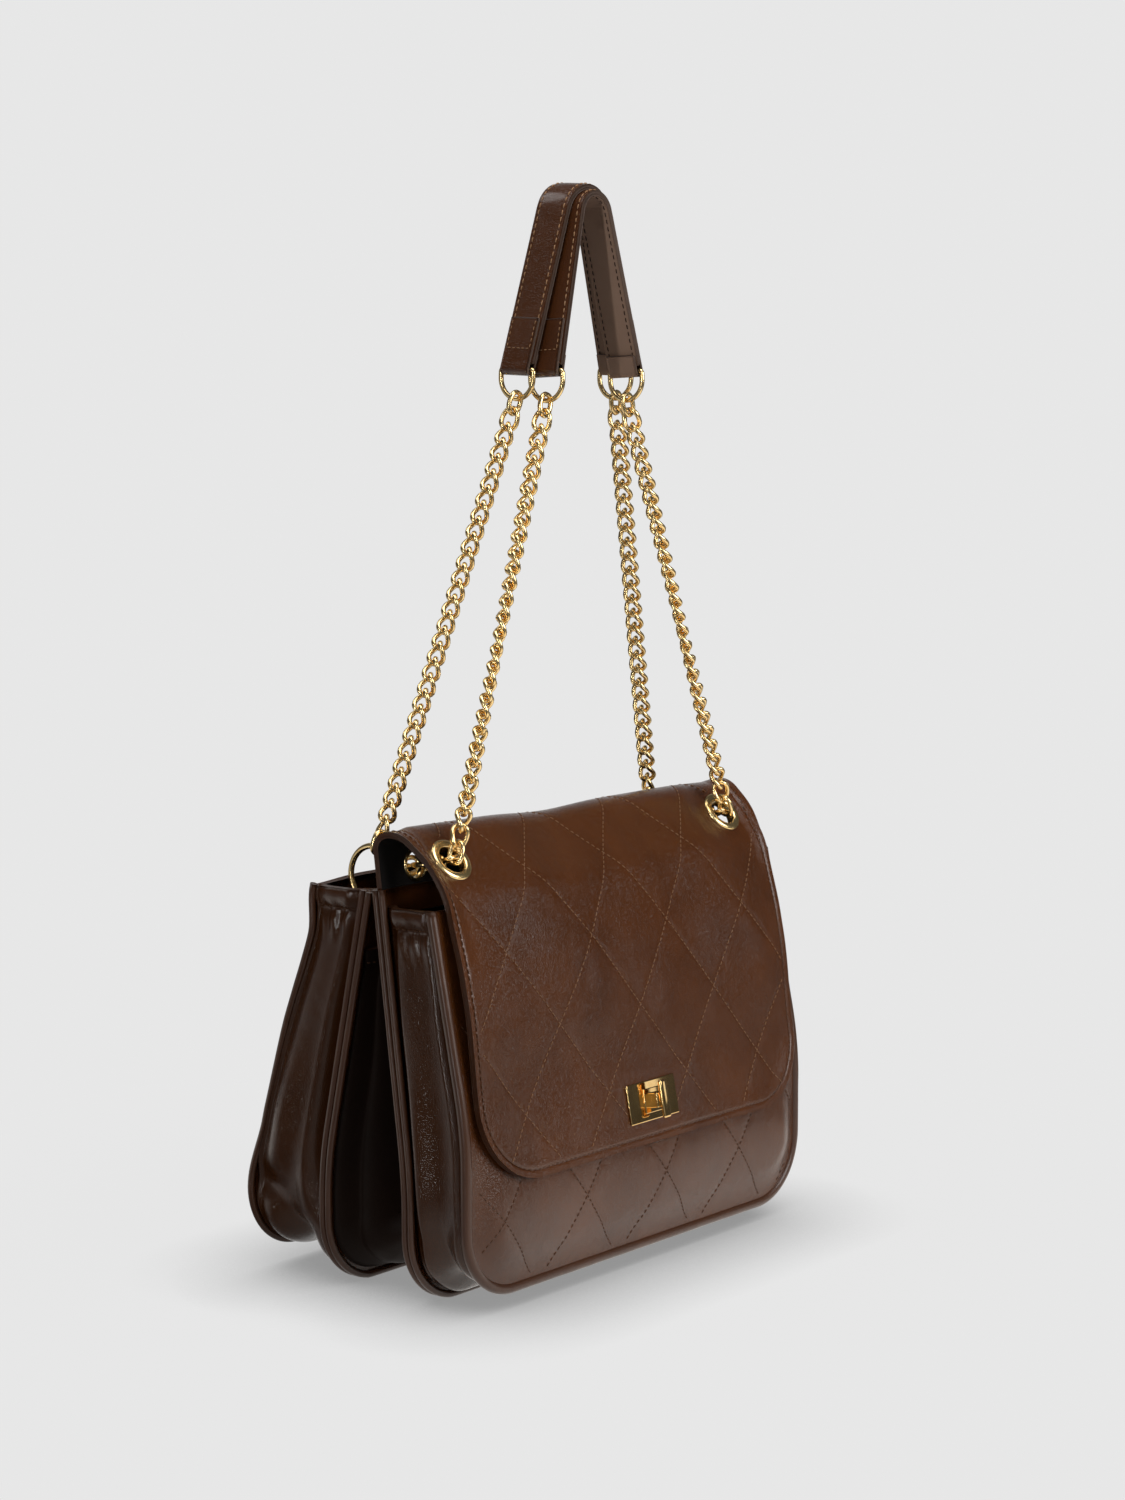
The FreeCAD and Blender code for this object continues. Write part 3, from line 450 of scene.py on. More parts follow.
def panelGrid(shape, inset, offset, cornerRows, sideRows, cols, relief=None):
    # columns across the outline and rows up the centre line, moved square to it by the offset and the relief
    rows, half = outlineRows(shape[1] + inset, shape[4], body["half"] - inset, body["corner"] - inset,
                             cornerRows, sideRows)
    x = half[:, None] * columnShares(cols)
    z = np.repeat(rows[:, None], cols, 1)
    y, tilt = centreLine(shape, z)
    move = offset + (0 if relief is None else relief(x, z))
    grid = np.stack([x, y + move * np.cos(tilt), z - move * np.sin(tilt)], -1)
    return grid, rows, half, np.stack([x, z], -1) * mm


def reachIn(x, s, half, corner):
    # distance in from the rim of a sheet with two rounded lower corners
    dx, ds = np.maximum(np.abs(x) - (half - corner), 0), np.maximum(corner - s, 0)
    return np.where((dx > 0) & (ds > 0), corner - np.hypot(dx, ds), np.minimum(half - np.abs(x), s))


def edgeFade(x, z, shape, reach):
    # 1 inside a panel, falling to 0 at its piping
    inside = smooth(reachIn(x, z - shape[1], body["half"], body["corner"]), body["rimFlat"], reach)
    return inside * smooth(shape[4] - z, *body["topFade"])


frontForm = {"quiltX": 11.5, "quiltS": 43.8, "quiltSpan": (14, 178), "fade": 22, "bulge": 5.6, "centre": 44.0,
             "spread": 29.0, "ripple": 0.5, "rippleWide": 17, "rippleTall": 23, "rippleAt": 30,
             "rippleSpread": 22}


def frontRelief(x, z):
    # a low bulge, ripples round it and the quilting, all gone at the piping
    form = frontForm
    swell = form["bulge"] * bell(z, form["centre"], form["spread"])
    ripple = form["ripple"] * np.sin(x / form["rippleWide"] + np.sin(z / form["rippleTall"]))
    ripple = ripple * bell(z, form["rippleAt"], form["rippleSpread"])
    pillows = quiltRelief(x, z, form["quiltX"], form["quiltS"])
    return -edgeFade(x, z, body["front"], form["fade"]) * (swell + ripple + pillows)


def eased(marks, at):
    # a smooth line through the marks, level at each of them
    places, values = np.array(marks).T
    step = np.clip(np.searchsorted(places, at, "right") - 1, 0, len(places) - 2)
    t = np.clip((at - places[step]) / (places[step + 1] - places[step]), 0, 1)
    return values[step] + (values[step + 1] - values[step]) * t * t * (3 - 2 * t)


# Back: slack, so it draws in at its sides by so much at each height, mm
backForm = {"draw": ((40, 0), (75, 7), (120, 6.2), (166, 8.8), (190, 3)), "drawFrom": 88, "fade": 26,
            "bulge": 3.0, "centre": 70, "spread": 50, "ripples": ((0.5, 31, 40), (0.35, -45, 17))}


def backBend(x, z):
    return -eased(backForm["draw"], z) * smooth(np.abs(x), backForm["drawFrom"], body["half"])


def backRelief(x, z):
    swell = backForm["bulge"] * bell(z, backForm["centre"], backForm["spread"])
    fade = edgeFade(x, z, body["back"], backForm["fade"])
    return backBend(x, z) + fade * (swell + waves(x, z, backForm["ripples"]))


def panelPiece(name, shape, inset, relief, node, outward, density):
    grid, rows, half, uv = panelGrid(shape, inset, 0, *density, relief)
    middle = (len(rows) // 2, grid.shape[1] // 2)
    piece, sheet = slab(name, grid, body["leather"], (hide, hide, edgeHide), outward, middle, uv, 0.1)
    sheet.update(rows=rows, half=half)
    dress(piece, "bag", node)
    return piece, sheet


frontPanel, frontSheet = panelPiece("frontPanel", body["front"], body["panelInset"], frontRelief, "front_panel",
                                    forward, (26, 100, 201))
panelPiece("backPanel", body["back"], body["panelInset"], backRelief, "back_panel", backward, (14, 40, 81))
for node, outward in (("divider_front", forward), ("divider_rear", backward)):
    panelPiece(camel(node), body[camel(node)], body["dividerInset"], None, node, outward, (14, 30, 41))
frontLines = quiltLines(frontSheet, frontForm["quiltX"], frontForm["quiltS"], *frontForm["quiltSpan"])
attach(stitches("frontQuiltStitches", frontLines, "quilt", brownThread), "bag")
print("panels")

# Linings: the panel that each one lies on, and on which side
lining = {"drop": 12, "inset": 11.0, "offset": 1.7, "thick": 0.8, "density": (10, 30, 41),
          "sides": {"front": 1, "divider_front": -1, "divider_rear": 1, "back": -1}}
for word, side in lining["sides"].items():
    shape = lowered(body[camel(word)], lining["drop"])
    relief = backBend if word == "back" else None
    grid, _, _, uv = panelGrid(shape, lining["inset"], side * lining["offset"], *lining["density"], relief)
    node = word + "_lining"
    piece, _ = slab(camel(node), grid, lining["thick"], (liningCloth,) * 3, backward, (20, 20), uv, 0.2)
    dress(piece, "bag", node)


def uPath(shape, drop, inset, steps):
    # down the left side, round the corner, along the base, and up the right side; with the inward direction
    sides, corners, bases = steps
    z = np.linspace(shape[4] - drop, shape[1] + body["corner"], sides)
    turn = np.linspace(0, pi / 2, corners)[1:]
    reach, radius = body["half"] - body["corner"], body["corner"] - inset
    base = np.linspace(-reach, 0, bases)[1:]
    x = np.concatenate([np.full(sides, -body["half"] + inset), -reach - radius * np.cos(turn), base])
    high = np.concatenate([z, shape[1] + body["corner"] - radius * np.sin(turn),
                           np.full(len(base), shape[1] + inset)])
    y, tilt = centreLine(shape, high)
    angle = np.concatenate([np.zeros(sides), turn, np.full(len(base), pi / 2)])
    points = np.stack([x, y, high], -1)
    inward = np.stack([np.cos(angle), 0 * angle, np.sin(angle)], -1)
    flip = np.array([-1, 1, 1])
    both = [np.concatenate([part, (part * flip)[-2::-1]]) for part in (points, inward)]
    return both[0], both[1], np.concatenate([tilt, tilt[-2::-1]])


def piping(name, shape, node, offset, radius, inset):
    # a rolled edge with slight lumps
    path, _, tilt = uPath(shape, 0, inset, (60, 18, 50))
    path = path + np.stack([0 * tilt, np.cos(tilt), -np.sin(tilt)], -1) * offset
    if shape is body["back"]:
        path[:, 1] += backBend(path[:, 0], path[:, 2])
    along = runLength(path)
    path[:, 2] = np.maximum(path[:, 2], radius)
    lumps = radius * (1 + 0.03 * np.sin(along / 5.3) * np.sin(along / 31))
    piece = tube(name, path, np.minimum(lumps, radius), 14, edgeHide, np.array(backward, float))
    dress(piece, "bag", node)


piping("frontPiping", body["front"], "front_piping", 0, body["frontPipe"], body["pipeInset"])
piping("backPiping", body["back"], "back_piping", 0, body["backPipe"], body["pipeInset"])
radius = body["doublePipe"]
for node in ("divider_front_piping", "divider_rear_piping"):
    shape = body[camel(node).replace("Piping", "")]
    for side, word in ((-1, "Fore"), (1, "Aft")):
        piping(camel(node) + word, shape, node, side * (radius + body["pipeGap"]), radius, radius)
print("piping")

# Gussets: outward offset at shares of the way across, from the fore seam to the aft one, mm
wideBase = ((0, 0), (0.15, 2), (0.5, -8), (0.85, 2), (1, 0))
gussets = {
    "front_gusset": {"fore": body["front"], "aft": lowered(body["dividerFront"], 7.0), "drop": 1.0, "hem": 9.0,
                     "side": ((0, 0), (0.05, -2), (0.22, 2.5), (0.8, 5), (0.94, -5), (1, 1)), "base": wideBase,
                     "hide": softHide, "top": 0.5, "sag": 1.5, "wrinkle": 1.1, "pucker": 0.5, "phase": 0.4},
    "middle_gusset": {"fore": body["dividerFront"], "aft": body["dividerRear"], "drop": 28.0, "hem": 7.0,
                      "side": ((0, 0), (0.12, -12), (0.45, -36), (0.86, -12), (1, 0)),
                      "base": ((0, 0), (0.15, -1), (0.5, -10), (0.85, -1), (1, 0)), "hide": foldHide,
                      "top": 0.7, "sag": 0.0, "wrinkle": 1.6, "pucker": 0.3, "phase": 1.9},
    "rear_gusset": {"fore": body["dividerRear"], "aft": body["back"], "drop": 1.0, "hem": 9.0,
                    "side": ((0, 1), (0.06, -9), (0.38, 3), (0.72, 4), (0.95, 1.5), (1, 3.4)), "base": wideBase,
                    "hide": softHide, "top": 0.45, "sag": 3.0, "wrinkle": 1.3, "pucker": 0.7, "phase": 3.1}}
# What all gussets share: lengths run from the mouth, mm, and shares of the way across
strip = {"inset": 6.0, "seamGap": 1.5, "steps": (110, 40, 60), "cols": 73, "leather": 1.6, "hemLeather": 1.2,
         "hemStep": 0.4, "hemStitch": 1.8, "opened": 60, "turned": (125, 190), "fanAt": 168, "fanSpread": 26,
         "fanPitch": 6.5, "fanSlant": 7, "fanMiddle": 0.45, "draped": (20, 90), "puckers": 4, "puckerSlant": 9,
         "puckerBelow": 6, "puckerSpread": 7, "tuck": 2.2, "tuckBelow": 1, "roll": 1.2, "rollAbove": 5,
         "tuckSpread": 3.5, "uvWidth": 40}


def gussetPiece(node, info):
    # across: creases beside the seams and a swell between; along: folds round the corner, puckers under the hem
    fore, inward, _ = uPath(info["fore"], info["drop"], strip["inset"], strip["steps"])
    aft = uPath(info["aft"], info["drop"], strip["inset"], strip["steps"])[0]
    fore = fore + [0, strip["seamGap"], 0]
    aft = aft - [0, strip["seamGap"], 0]
    if info["aft"] is body["back"]:
        aft[:, 1] += backBend(aft[:, 0], aft[:, 2])
    across = np.linspace(0, 1, strip["cols"])
    length = runLength((fore + aft) / 2)
    end = np.minimum(length, length[-1] - length)[:, None]
    hem, phase = info["hem"], info["phase"]
    depth = info["top"] + (1 - info["top"]) * smooth(end, hem, strip["opened"])
    under = smooth(end, *strip["turned"])
    fade = np.sin(pi * across) ** 0.7
    fan = np.sin(end / strip["fanPitch"] + strip["fanSlant"] * np.abs(across - strip["fanMiddle"]) + phase)
    fan = fan * bell(end, strip["fanAt"], strip["fanSpread"])
    drape = 0.6 * np.sin(end / 41 + 3 * across + phase) + 0.3 * np.sin(end / 19 - 4 * across)
    pucker = np.sin(across * 2 * pi * strip["puckers"] + phase + end / strip["puckerSlant"])
    pucker = pucker * bell(end, hem + strip["puckerBelow"], strip["puckerSpread"])
    tuck = strip["tuck"] * bell(end, hem + strip["tuckBelow"], strip["tuckSpread"])
    tuck = tuck - strip["roll"] * bell(end, hem - strip["rollAbove"], strip["tuckSpread"])
    # the sag: a low swell towards the aft seam, and the dent below it
    sag = bell(end, 116, 30) * bell(across, 0.78, 0.2) - 1.6 * bell(end, 151, 9) * bell(across, 0.8, 0.24)
    move = eased(info["side"], across) * depth * (1 - under) + eased(info["base"], across) * under
    move = move + info["sag"] * sag - fade * tuck
    drape = drape * smooth(end, *strip["draped"])
    move = move + fade * (info["wrinkle"] * fan + drape + info["pucker"] * pucker)
    grid = fore[:, None] * (1 - across)[None, :, None] + aft[:, None] * across[None, :, None]
    grid = grid - inward[:, None] * move[..., None]
    folded = 1 - smooth(end, hem - strip["hemStep"], hem + strip["hemStep"])
    thick = strip["leather"] + strip["hemLeather"] * folded
    uv = np.stack(np.broadcast_arrays(across[None, :] * strip["uvWidth"], length[:, None]), -1) * mm
    materials = (info["hide"], liningCloth, edgeHide)
    piece, sheet = slab(camel(node), grid, thick, materials, (-1, 0, 0), (60, strip["cols"] // 2), uv, 0.3)
    dress(piece, "bag", node)
    row = int(np.argmax(length > hem - strip["hemStitch"]))
    lines = [(sheet["outer"][::order][row, 1:-1], sheet["normal"][::order][row, 1:-1]) for order in (1, -1)]
    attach(stitches(camel(node) + "Stitches", lines, "hem", brownThread), "bag")


for node, info in gussets.items():
    gussetPiece(node, info)
print("gussets")

# Flap: up from the front divider, over the fold, down a land that holds the eyelets, and down the front, mm
flap = {"half": 122.0, "bridgeHalf": 127.5, "corner": 36.0, "leather": 1.8, "lining": 1.0, "ply": 2.9,
        "points": ((-68.397, 60.4), (-42.716, 187.525), (-19.087, 215.19), (-5.55, 216.494), (-8.775, 191.198)),
        "radii": (25.0, 12.0, 6.5), "edge": 4.0, "groove": 0.5, "quiltX": 0.0, "quiltS": 65.8,
        "hinge": (-38.504, 194.688), "bendFrom": (1.5, 1.4), "bendTo": (-5.0, -5.0), "lock": (-64.438, 80.0),
        "frontEyelet": (-29.608, 202.872), "rearEyelet": (-7.687, 199.729), "eyeletX": 103.7, "frontHole": 8.3,
        "rearHole": 7.5, "puff": 3.4, "puffRise": (32, 84), "puffFall": (6, 56), "puffClear": (12, 34),
        "flare": 4.0, "flareSides": (112, 123), "flareBelow": 2, "flareSpread": 17, "rimFade": (3, 12),
        "topFade": (4, 24), "eyeletFade": (12, 26), "lockFade": (0.8, 2.2), "lockReach": (26, 17),
        "ripples": ((0.8, 23, 31), (0.4, -37, 15)), "rows": (34, 180), "cols": 221,
        "lockClear": (19, 10), "frontClear": 12, "rearClear": 9}


def roundedLine(points, radii, step):
    # straight runs joined by arcs that touch them
    points = [np.array(p, float) for p in points]
    out = [points[0][None]]
    for i, radius in enumerate(radii):
        a, b, c = points[i:i + 3]
        first, last = unit(a - b), unit(c - b)
        half = math.acos(np.clip(np.dot(first, last), -1, 1)) / 2
        centre = b + unit(first + last) * radius / math.sin(half)
        e1, e2 = (b + way * radius / math.tan(half) - centre for way in (first, last))
        t = np.linspace(0, 1, 24)[:, None]
        turn = pi - 2 * half
        out.append(centre + (np.sin((1 - t) * turn) * e1 + np.sin(t * turn) * e2) / math.sin(turn))
    line = np.concatenate(out + [points[-1][None]])
    gap = runLength(line)
    keep = np.concatenate([[True], np.diff(gap) > 1e-6])
    line, gap = line[keep], gap[keep]
    want = np.linspace(0, gap[-1], int(gap[-1] / step))
    return want, readAt(want, gap, line)


flapGap, flapLine = roundedLine(flap["points"], flap["radii"], 0.5)
flapLength = flapGap[-1]


def alongOf(point):
    return flapGap[np.argmin(np.linalg.norm(flapLine - np.array(point), axis=1))]


eyeletS, lockS, hingeS, rearS = (alongOf(flap[key]) for key in ("frontEyelet", "lock", "hinge", "rearEyelet"))


def fromEyelet(x, s, eyelet):
    return np.hypot(np.abs(x) - flap["eyeletX"], s - eyelet)


def flapPuff(x, s):
    # the flap stands off the panel between lock and shoulder, and its sides roll out beside the eyelets
    stand = flap["puff"] * smooth(s, *flap["puffRise"]) * smooth(eyeletS - s, *flap["puffFall"])
    flare = flap["flare"] * smooth(np.abs(x), *flap["flareSides"])
    flare = flare * bell(s, eyeletS - flap["flareBelow"], flap["flareSpread"])
    return stand * smooth(fromEyelet(x, s, eyeletS), *flap["puffClear"]) + flare


def flapRelief(x, s):
    # puff, then quilting and ripples that fade at the rim, the lock and the eyelets, and a groove for the seam
    reach = reachIn(x, s, flap["half"], flap["corner"])
    fade = smooth(reach, *flap["rimFade"]) * smooth(flapLength - s, *flap["topFade"])
    lockX, lockZ = flap["lockReach"]
    lock = smooth(np.hypot(x / lockX, (s - lockS) / lockZ), *flap["lockFade"])
    eyelet = smooth(fromEyelet(x, s, eyeletS), *flap["eyeletFade"])
    ripple = waves(x, s, flap["ripples"]) + 0.3 * np.sin(x / 11 + 0.7 * np.sin(s / 17))
    seam = flap["groove"] * bell(reach, flap["edge"] - 0.6, 0.7)
    pillows = quiltRelief(x, s, flap["quiltX"], flap["quiltS"])
    return flapPuff(x, s) + fade * lock * eyelet * (pillows + ripple) - seam


def flapGrid(offset, relief):
    # columns across the outline and rows along the side view's line, moved square to it by the relief
    rows, half = outlineRows(0, flapLength, flap["half"], flap["corner"], *flap["rows"])
    centre = readAt(rows, flapGap, flapLine)
    widen = np.clip((centre[:, 0] - flap["hinge"][0]) / (flap["points"][-1][0] - flap["hinge"][0]), 0, 1)
    widen = (flap["bridgeHalf"] - flap["half"]) * widen * (rows > hingeS)
    half = half + widen
    x = half[:, None] * columnShares(flap["cols"])
    s = np.repeat(rows[:, None], flap["cols"], 1)
    run = unit(np.gradient(centre, rows, axis=0))
    out = np.stack([-run[:, 1], run[:, 0]], -1)
    move = offset + relief(x, s)
    y, z = (centre[:, None, i] + out[:, None, i] * move for i in (0, 1))
    return np.stack([x, y, z], -1), {"rows": rows, "half": half, "widen": widen}, np.stack([x, s], -1) * mm


def holed(grid):
    # round holes: the vertices inside each circle move out to it, and the faces left inside are dropped
    inside = np.zeros(grid.shape[:2], bool)
    for key in ("front", "rear"):
        centre, radius = flap[key + "Eyelet"], flap[key + "Hole"]
        for side, _ in hands:
            away = grid - np.array([side * flap["eyeletX"], *centre])
            gap = np.linalg.norm(away, axis=-1)
            near = gap < radius
            pushed = grid + away * (radius / np.maximum(gap, 0.05) - 1)[..., None]
            grid = np.where(near[..., None], pushed, grid)
            inside |= near
    return grid, inside.ravel()


def bendAt(piece):
    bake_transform(piece)


def flapSide(name, offset, thick, relief, materials, edge):
    grid, marks, uv = flapGrid(offset, relief)
    grid, inside = holed(grid)
    piece, sheet = slab(name, grid, thick, materials, forward, (60, flap["cols"] // 2), uv, edge, inside)
    bendAt(piece)
    return piece, {**sheet, **marks}


piece, flapSheet = flapSide("flapHide", flap["ply"] / 2 - flap["leather"] / 2, flap["leather"], flapRelief,
                            (hide, edgeHide, edgeHide), 0.45)
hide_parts("flap", "flap_bridge")
piece, _ = flapSide("flapBacking", -flap["ply"] / 2 + flap["lining"] / 2, flap["lining"], flapPuff,
                    (liningCloth, liningCloth, edgeHide), 0.4)
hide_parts("flap_lining", "bridge_lining")


def clearOfMetal(x, s):
    wide, tall = flap["lockClear"]
    lock = (np.abs(x) < wide) & (np.abs(s - lockS) < tall)
    eyelets = (fromEyelet(x, s, eyeletS) < flap["frontClear"]) | (fromEyelet(x, s, rearS) < flap["rearClear"])
    return ~lock & ~eyelets


flapLines = quiltLines(flapSheet, flap["quiltX"], flap["quiltS"], 6, flapLength - 5, clearOfMetal)
inset = flap["edge"]
edgeRows, edgeHalf = outlineRows(inset, flapLength - 4, flap["half"] - inset, flap["corner"] - inset, 60, 400)
edgeHalf = edgeHalf + np.interp(edgeRows, flapSheet["rows"], flapSheet["widen"])
lowEdge = np.linspace(-edgeHalf[0], edgeHalf[0], 200)[1:-1]
edgeX = np.concatenate([-edgeHalf[::-1], lowEdge, edgeHalf])
edgeS = np.concatenate([edgeRows[::-1], np.full(len(lowEdge), inset), edgeRows])
bendAt(stitches("flapQuiltStitches", flapLines, "quilt", quiltThread))
bendAt(stitches("flapEdgeStitches", [onGrid(flapSheet, edgeX, edgeS)], "flapEdge", brownThread))
print("flap", round(flapLength, 1))

# Chains: oval links, each turned a quarter against the next and twisted back so that they lie flat, mm
chain = {"pitch": 7.6, "wire": 1.18, "half": 3.7, "play": 0.3, "square": 2.4, "endSquare": 6.0, "stations": 24,
         "sides": 8, "count": 29, "front": ((104.258, -33.25, 203.9), (30.0, -26.5, 411.304)),
         "rear": ((103.7, 14.637, 204.184), (37.0, -14.5, 412.218)),
         "tail": ((103.7, -32.042, 204.95), (103.7, -25.117, 201.819), (103.7, -17.571, 200.914),
                  (103.7, -10.025, 200.01), (103.7, -2.614, 198.322), (103.7, 4.579, 195.87))}


def linkPoints(centre, along, across, roll, square):
    # one link: a squared oval in a plane that rolls along the chain, swept by a round wire
    turn = np.linspace(0, 2 * pi, chain["stations"], endpoint=False)
    other = np.cross(along, across)

    def middle(t):
        c, s = np.cos(t), np.sin(t)
        length = chain["pitch"] / 2 + chain["wire"] + chain["play"] / 2
        u = length * np.sign(c) * np.abs(c) ** (2 / square)
        v = chain["half"] * np.sign(s) * np.abs(s) ** (2 / square)
        angle = roll(u)[:, None]
        point = centre + along * u[:, None] + (across * np.cos(angle) + other * np.sin(angle)) * v[:, None]
        return point, other * np.cos(angle) - across * np.sin(angle)

    point, normal = middle(turn)
    run = unit(middle(turn + 0.05)[0] - middle(turn - 0.05)[0])
    first = unit(normal - run * np.sum(normal * run, -1, keepdims=True))
    return point[:, None] + spokes(first, np.cross(run, first), chain["sides"]) * chain["wire"]


def strandPoints(start, end, firstRoll):
    # links set evenly along a straight line, with a twist that starts and ends gently
    count = chain["count"]
    along = unit(end - start)
    across = unit(np.array([0, 1.0, 0]) - along * along[1])
    plain, ramp, length = chain["pitch"] / 2, 2 * chain["pitch"], count * chain["pitch"]
    total = length - 2 * plain

    def wound(distance):
        reach = np.clip(distance - plain, 0, total)
        head = np.minimum(reach, ramp)
        tail = np.maximum(0, reach - (total - ramp))
        return head ** 2 / (2 * ramp) + (reach - head - tail) + tail - tail ** 2 / (2 * ramp)

    square = (firstRoll + (count - 2) * pi / 2) % pi  # leaves the last link square to its ring
    rate = (math.floor(wound(length) / chain["pitch"] / 2 - square / pi) * pi + square) / wound(length)
    links = []
    for number in range(count):
        middle = (number + 0.5) * chain["pitch"]

        def roll(u, middle=middle, number=number):
            return firstRoll + number * pi / 2 - rate * wound(middle + u)

        links.append(linkPoints(start + along * middle, along, across, roll, chain["square"]))
    return np.stack(links)


def tailPoints(contacts):
    # links between given contact points, lying and standing by turns
    links = []
    side = np.array([1.0, 0, 0])
    for number, (fore, aft) in enumerate(zip(contacts, contacts[1:])):
        along = unit(aft - fore)
        across = side if number % 2 == 0 else np.cross(along, side)
        square = chain["endSquare"] if number == 0 else chain["square"]
        links.append(linkPoints((fore + aft) / 2, along, across, lambda u: 0 * u, square))
    return np.stack(links)


oneLink = hoopQuads(chain["stations"], chain["sides"], True)
for side, word in hands:
    flip = np.array([side, 1, 1])
    frontEnds, rearEnds, tail = (np.array(chain[key]) * flip for key in ("front", "rear", "tail"))
    runs = {"front_chain_": (strandPoints(*frontEnds, 0.0), "front_chains"),
            "rear_chain_": (strandPoints(*rearEnds, pi / 2), "rear_chains"),
            "tail_chain_": (tailPoints(tail), "bag")}
    for node, (points, owner) in runs.items():
        faces = copied(oneLink, chain["stations"] * chain["sides"], len(points))
        piece = makeMesh(node.title().replace("_", "") + word, points, [faces], [gold])
        dress(piece, owner, node + word)
print("chains")

# Eyelets: bore and flange radii, and heights above the middle of the leather, mm
eyelet = {"face": 1.45, "crown": 1.6, "back": -2.25, "wall": 0.9, "washerPlay": 1.0, "washerIn": 0.45,
          "bevel": (0.4, 0.35), "segments": 64,
          "front": {"out": (0, -0.76, 0.649), "up": (0, 0.649, 0.76), "radii": (6.9, 11.0)},
          "rear": {"out": (0, 0.992, -0.126), "up": (0, 0.126, 0.992), "radii": (6.2, 8.2)}}


def lathe(name, profile, centre, out, up):
    # a ring turned about its axis from a profile of radius and height
    out, up = np.array(out), np.array(up)
    ring = spokes(np.cross(up, out)[None], up[None], eyelet["segments"])[0]
    points = centre + ring[:, None] * profile[None, :, :1] + out * profile[None, :, 1:]
    return makeMesh(name, points, [hoopQuads(eyelet["segments"], len(profile), True)], [gold])


def eyeletProfile(bore, flange):
    # barrel, then a flange that swells from the leather and rolls back into the bore
    turn = np.linspace(0, pi, 15)
    middle, reach = (bore + flange) / 2, (flange - bore) / 2
    face, back, wall = eyelet["face"], eyelet["back"], bore + eyelet["wall"]
    crown = np.stack([middle + reach * np.cos(turn), face + eyelet["crown"] * np.sin(turn) ** 0.8], -1)
    return np.concatenate([crown, [[bore, back], [wall, back], [wall, face]]])


def washerProfile(bore, flange):
    # a flat ring with its outer edge bevelled
    inner, outer = bore + eyelet["washerPlay"], flange - eyelet["washerIn"]
    top, back, (bevelIn, bevelUp) = -eyelet["face"], eyelet["back"], eyelet["bevel"]
    return np.array([[inner, top], [outer, top], [outer, back + bevelUp], [outer - bevelIn, back],
                     [inner, back]])


for key in ("front", "rear"):
    info = eyelet[key]
    for side, word in hands:
        centre = np.array([side * flap["eyeletX"], *flap[key + "Eyelet"]])
        for kind, profileOf in (("eyelet", eyeletProfile), ("washer", washerProfile)):
            node = "%s_%s_%s" % (key, kind, word)
            piece = lathe(camel(node), profileOf(*info["radii"]), centre, info["out"], info["up"])
            dress(piece, "bag", node)
print("eyelets")

# Shoulder pads: two bent strips, each of leather and a lining, with tabs round the rings, mm
pads = {"width": 18.0, "leather": 1.6, "lining": 1.0, "ply": 2.7, "cushion": 0.4, "stitchIn": 2.0, "step": 0.9,
        "cols": 29, "wrinkle": 0.1, "wrinklePitch": 1.5, "wrinkleSpread": 26,
        "front": {"hub": (30.0, -26.5, 419.304), "right": (29.224, 426.201), "peak": 535.265, "radius": 10.4,
                  "lean": -2.5, "slant": 15.0},
        "rear": {"hub": (37.0, -14.5, 420.218), "right": (36.123, 427.087), "peak": 545.24, "radius": 14.856,
                 "lean": 2.5, "slant": 17.0}}
tab = {"width": 16.2, "inner": 1.45, "leather": 1.4, "tall": 24.0, "short": 8.0, "foot": 0.4, "above": 4.0,
       "uvWidth": 8.8, "rows": (30, 17, 10), "cols": 13, "suedeFrom": 38, "seamEnd": 18}


def leaned(points, info):
    # turned about the line through the rings
    angle = math.radians(info["lean"])
    hub = np.array([0, *info["hub"][1:]])
    away = points - hub
    y = away[..., 1] * math.cos(angle) - away[..., 2] * math.sin(angle)
    z = away[..., 1] * math.sin(angle) + away[..., 2] * math.cos(angle)
    return np.stack([away[..., 0], y, z], -1) + hub


def padStrip(name, info, offset, thick, crown, materials):
    # up one side, round the top and down the other, crowned across, with fine wrinkles on the bend
    right = info["right"]
    gap, line = roundedLine((right, (0, info["peak"]), (-right[0], right[1])), (info["radius"],), pads["step"])
    run = unit(np.gradient(line, gap, axis=0))
    out = np.stack([run[:, 1], -run[:, 0]], -1)
    across = np.linspace(-1, 1, pads["cols"])
    flat = 1 - across ** 4
    bend = pads["wrinkle"] * bell(gap, gap[-1] / 2, pads["wrinkleSpread"])[:, None]
    wrinkle = bend * np.sin(gap[:, None] / pads["wrinklePitch"] + 0.6 * np.sin(across * 3)) * flat
    move = (offset + crown * flat)[None] + wrinkle
    sideways = across * pads["width"] / 2
    grid = np.stack([line[:, None, 0] + out[:, None, 0] * move,
                     np.broadcast_to(info["hub"][1] + sideways, move.shape),
                     line[:, None, 1] + out[:, None, 1] * move], -1)
    uv = np.stack(np.broadcast_arrays(sideways[None], gap[:, None]), -1) * mm
    top = (len(gap) // 2, pads["cols"] // 2)
    return slab(name, leaned(grid, info), thick, materials, (0, 0, 1), top, uv, 0.3)


def padStitches(name, sheet, face, sign, material):
    lines = []
    for share in np.array([-1, 1]) * (1 - 2 * pads["stitchIn"] / pads["width"]):
        col = (share + 1) / 2 * (sheet[face].shape[1] - 1)
        low, part = int(col), col - int(col)
        line = sheet[face][:, low] * (1 - part) + sheet[face][:, low + 1] * part
        lines.append((line[4:-4], sheet["normal"][4:-4, low] * sign))
    return stitches(name, lines, "pad", material)


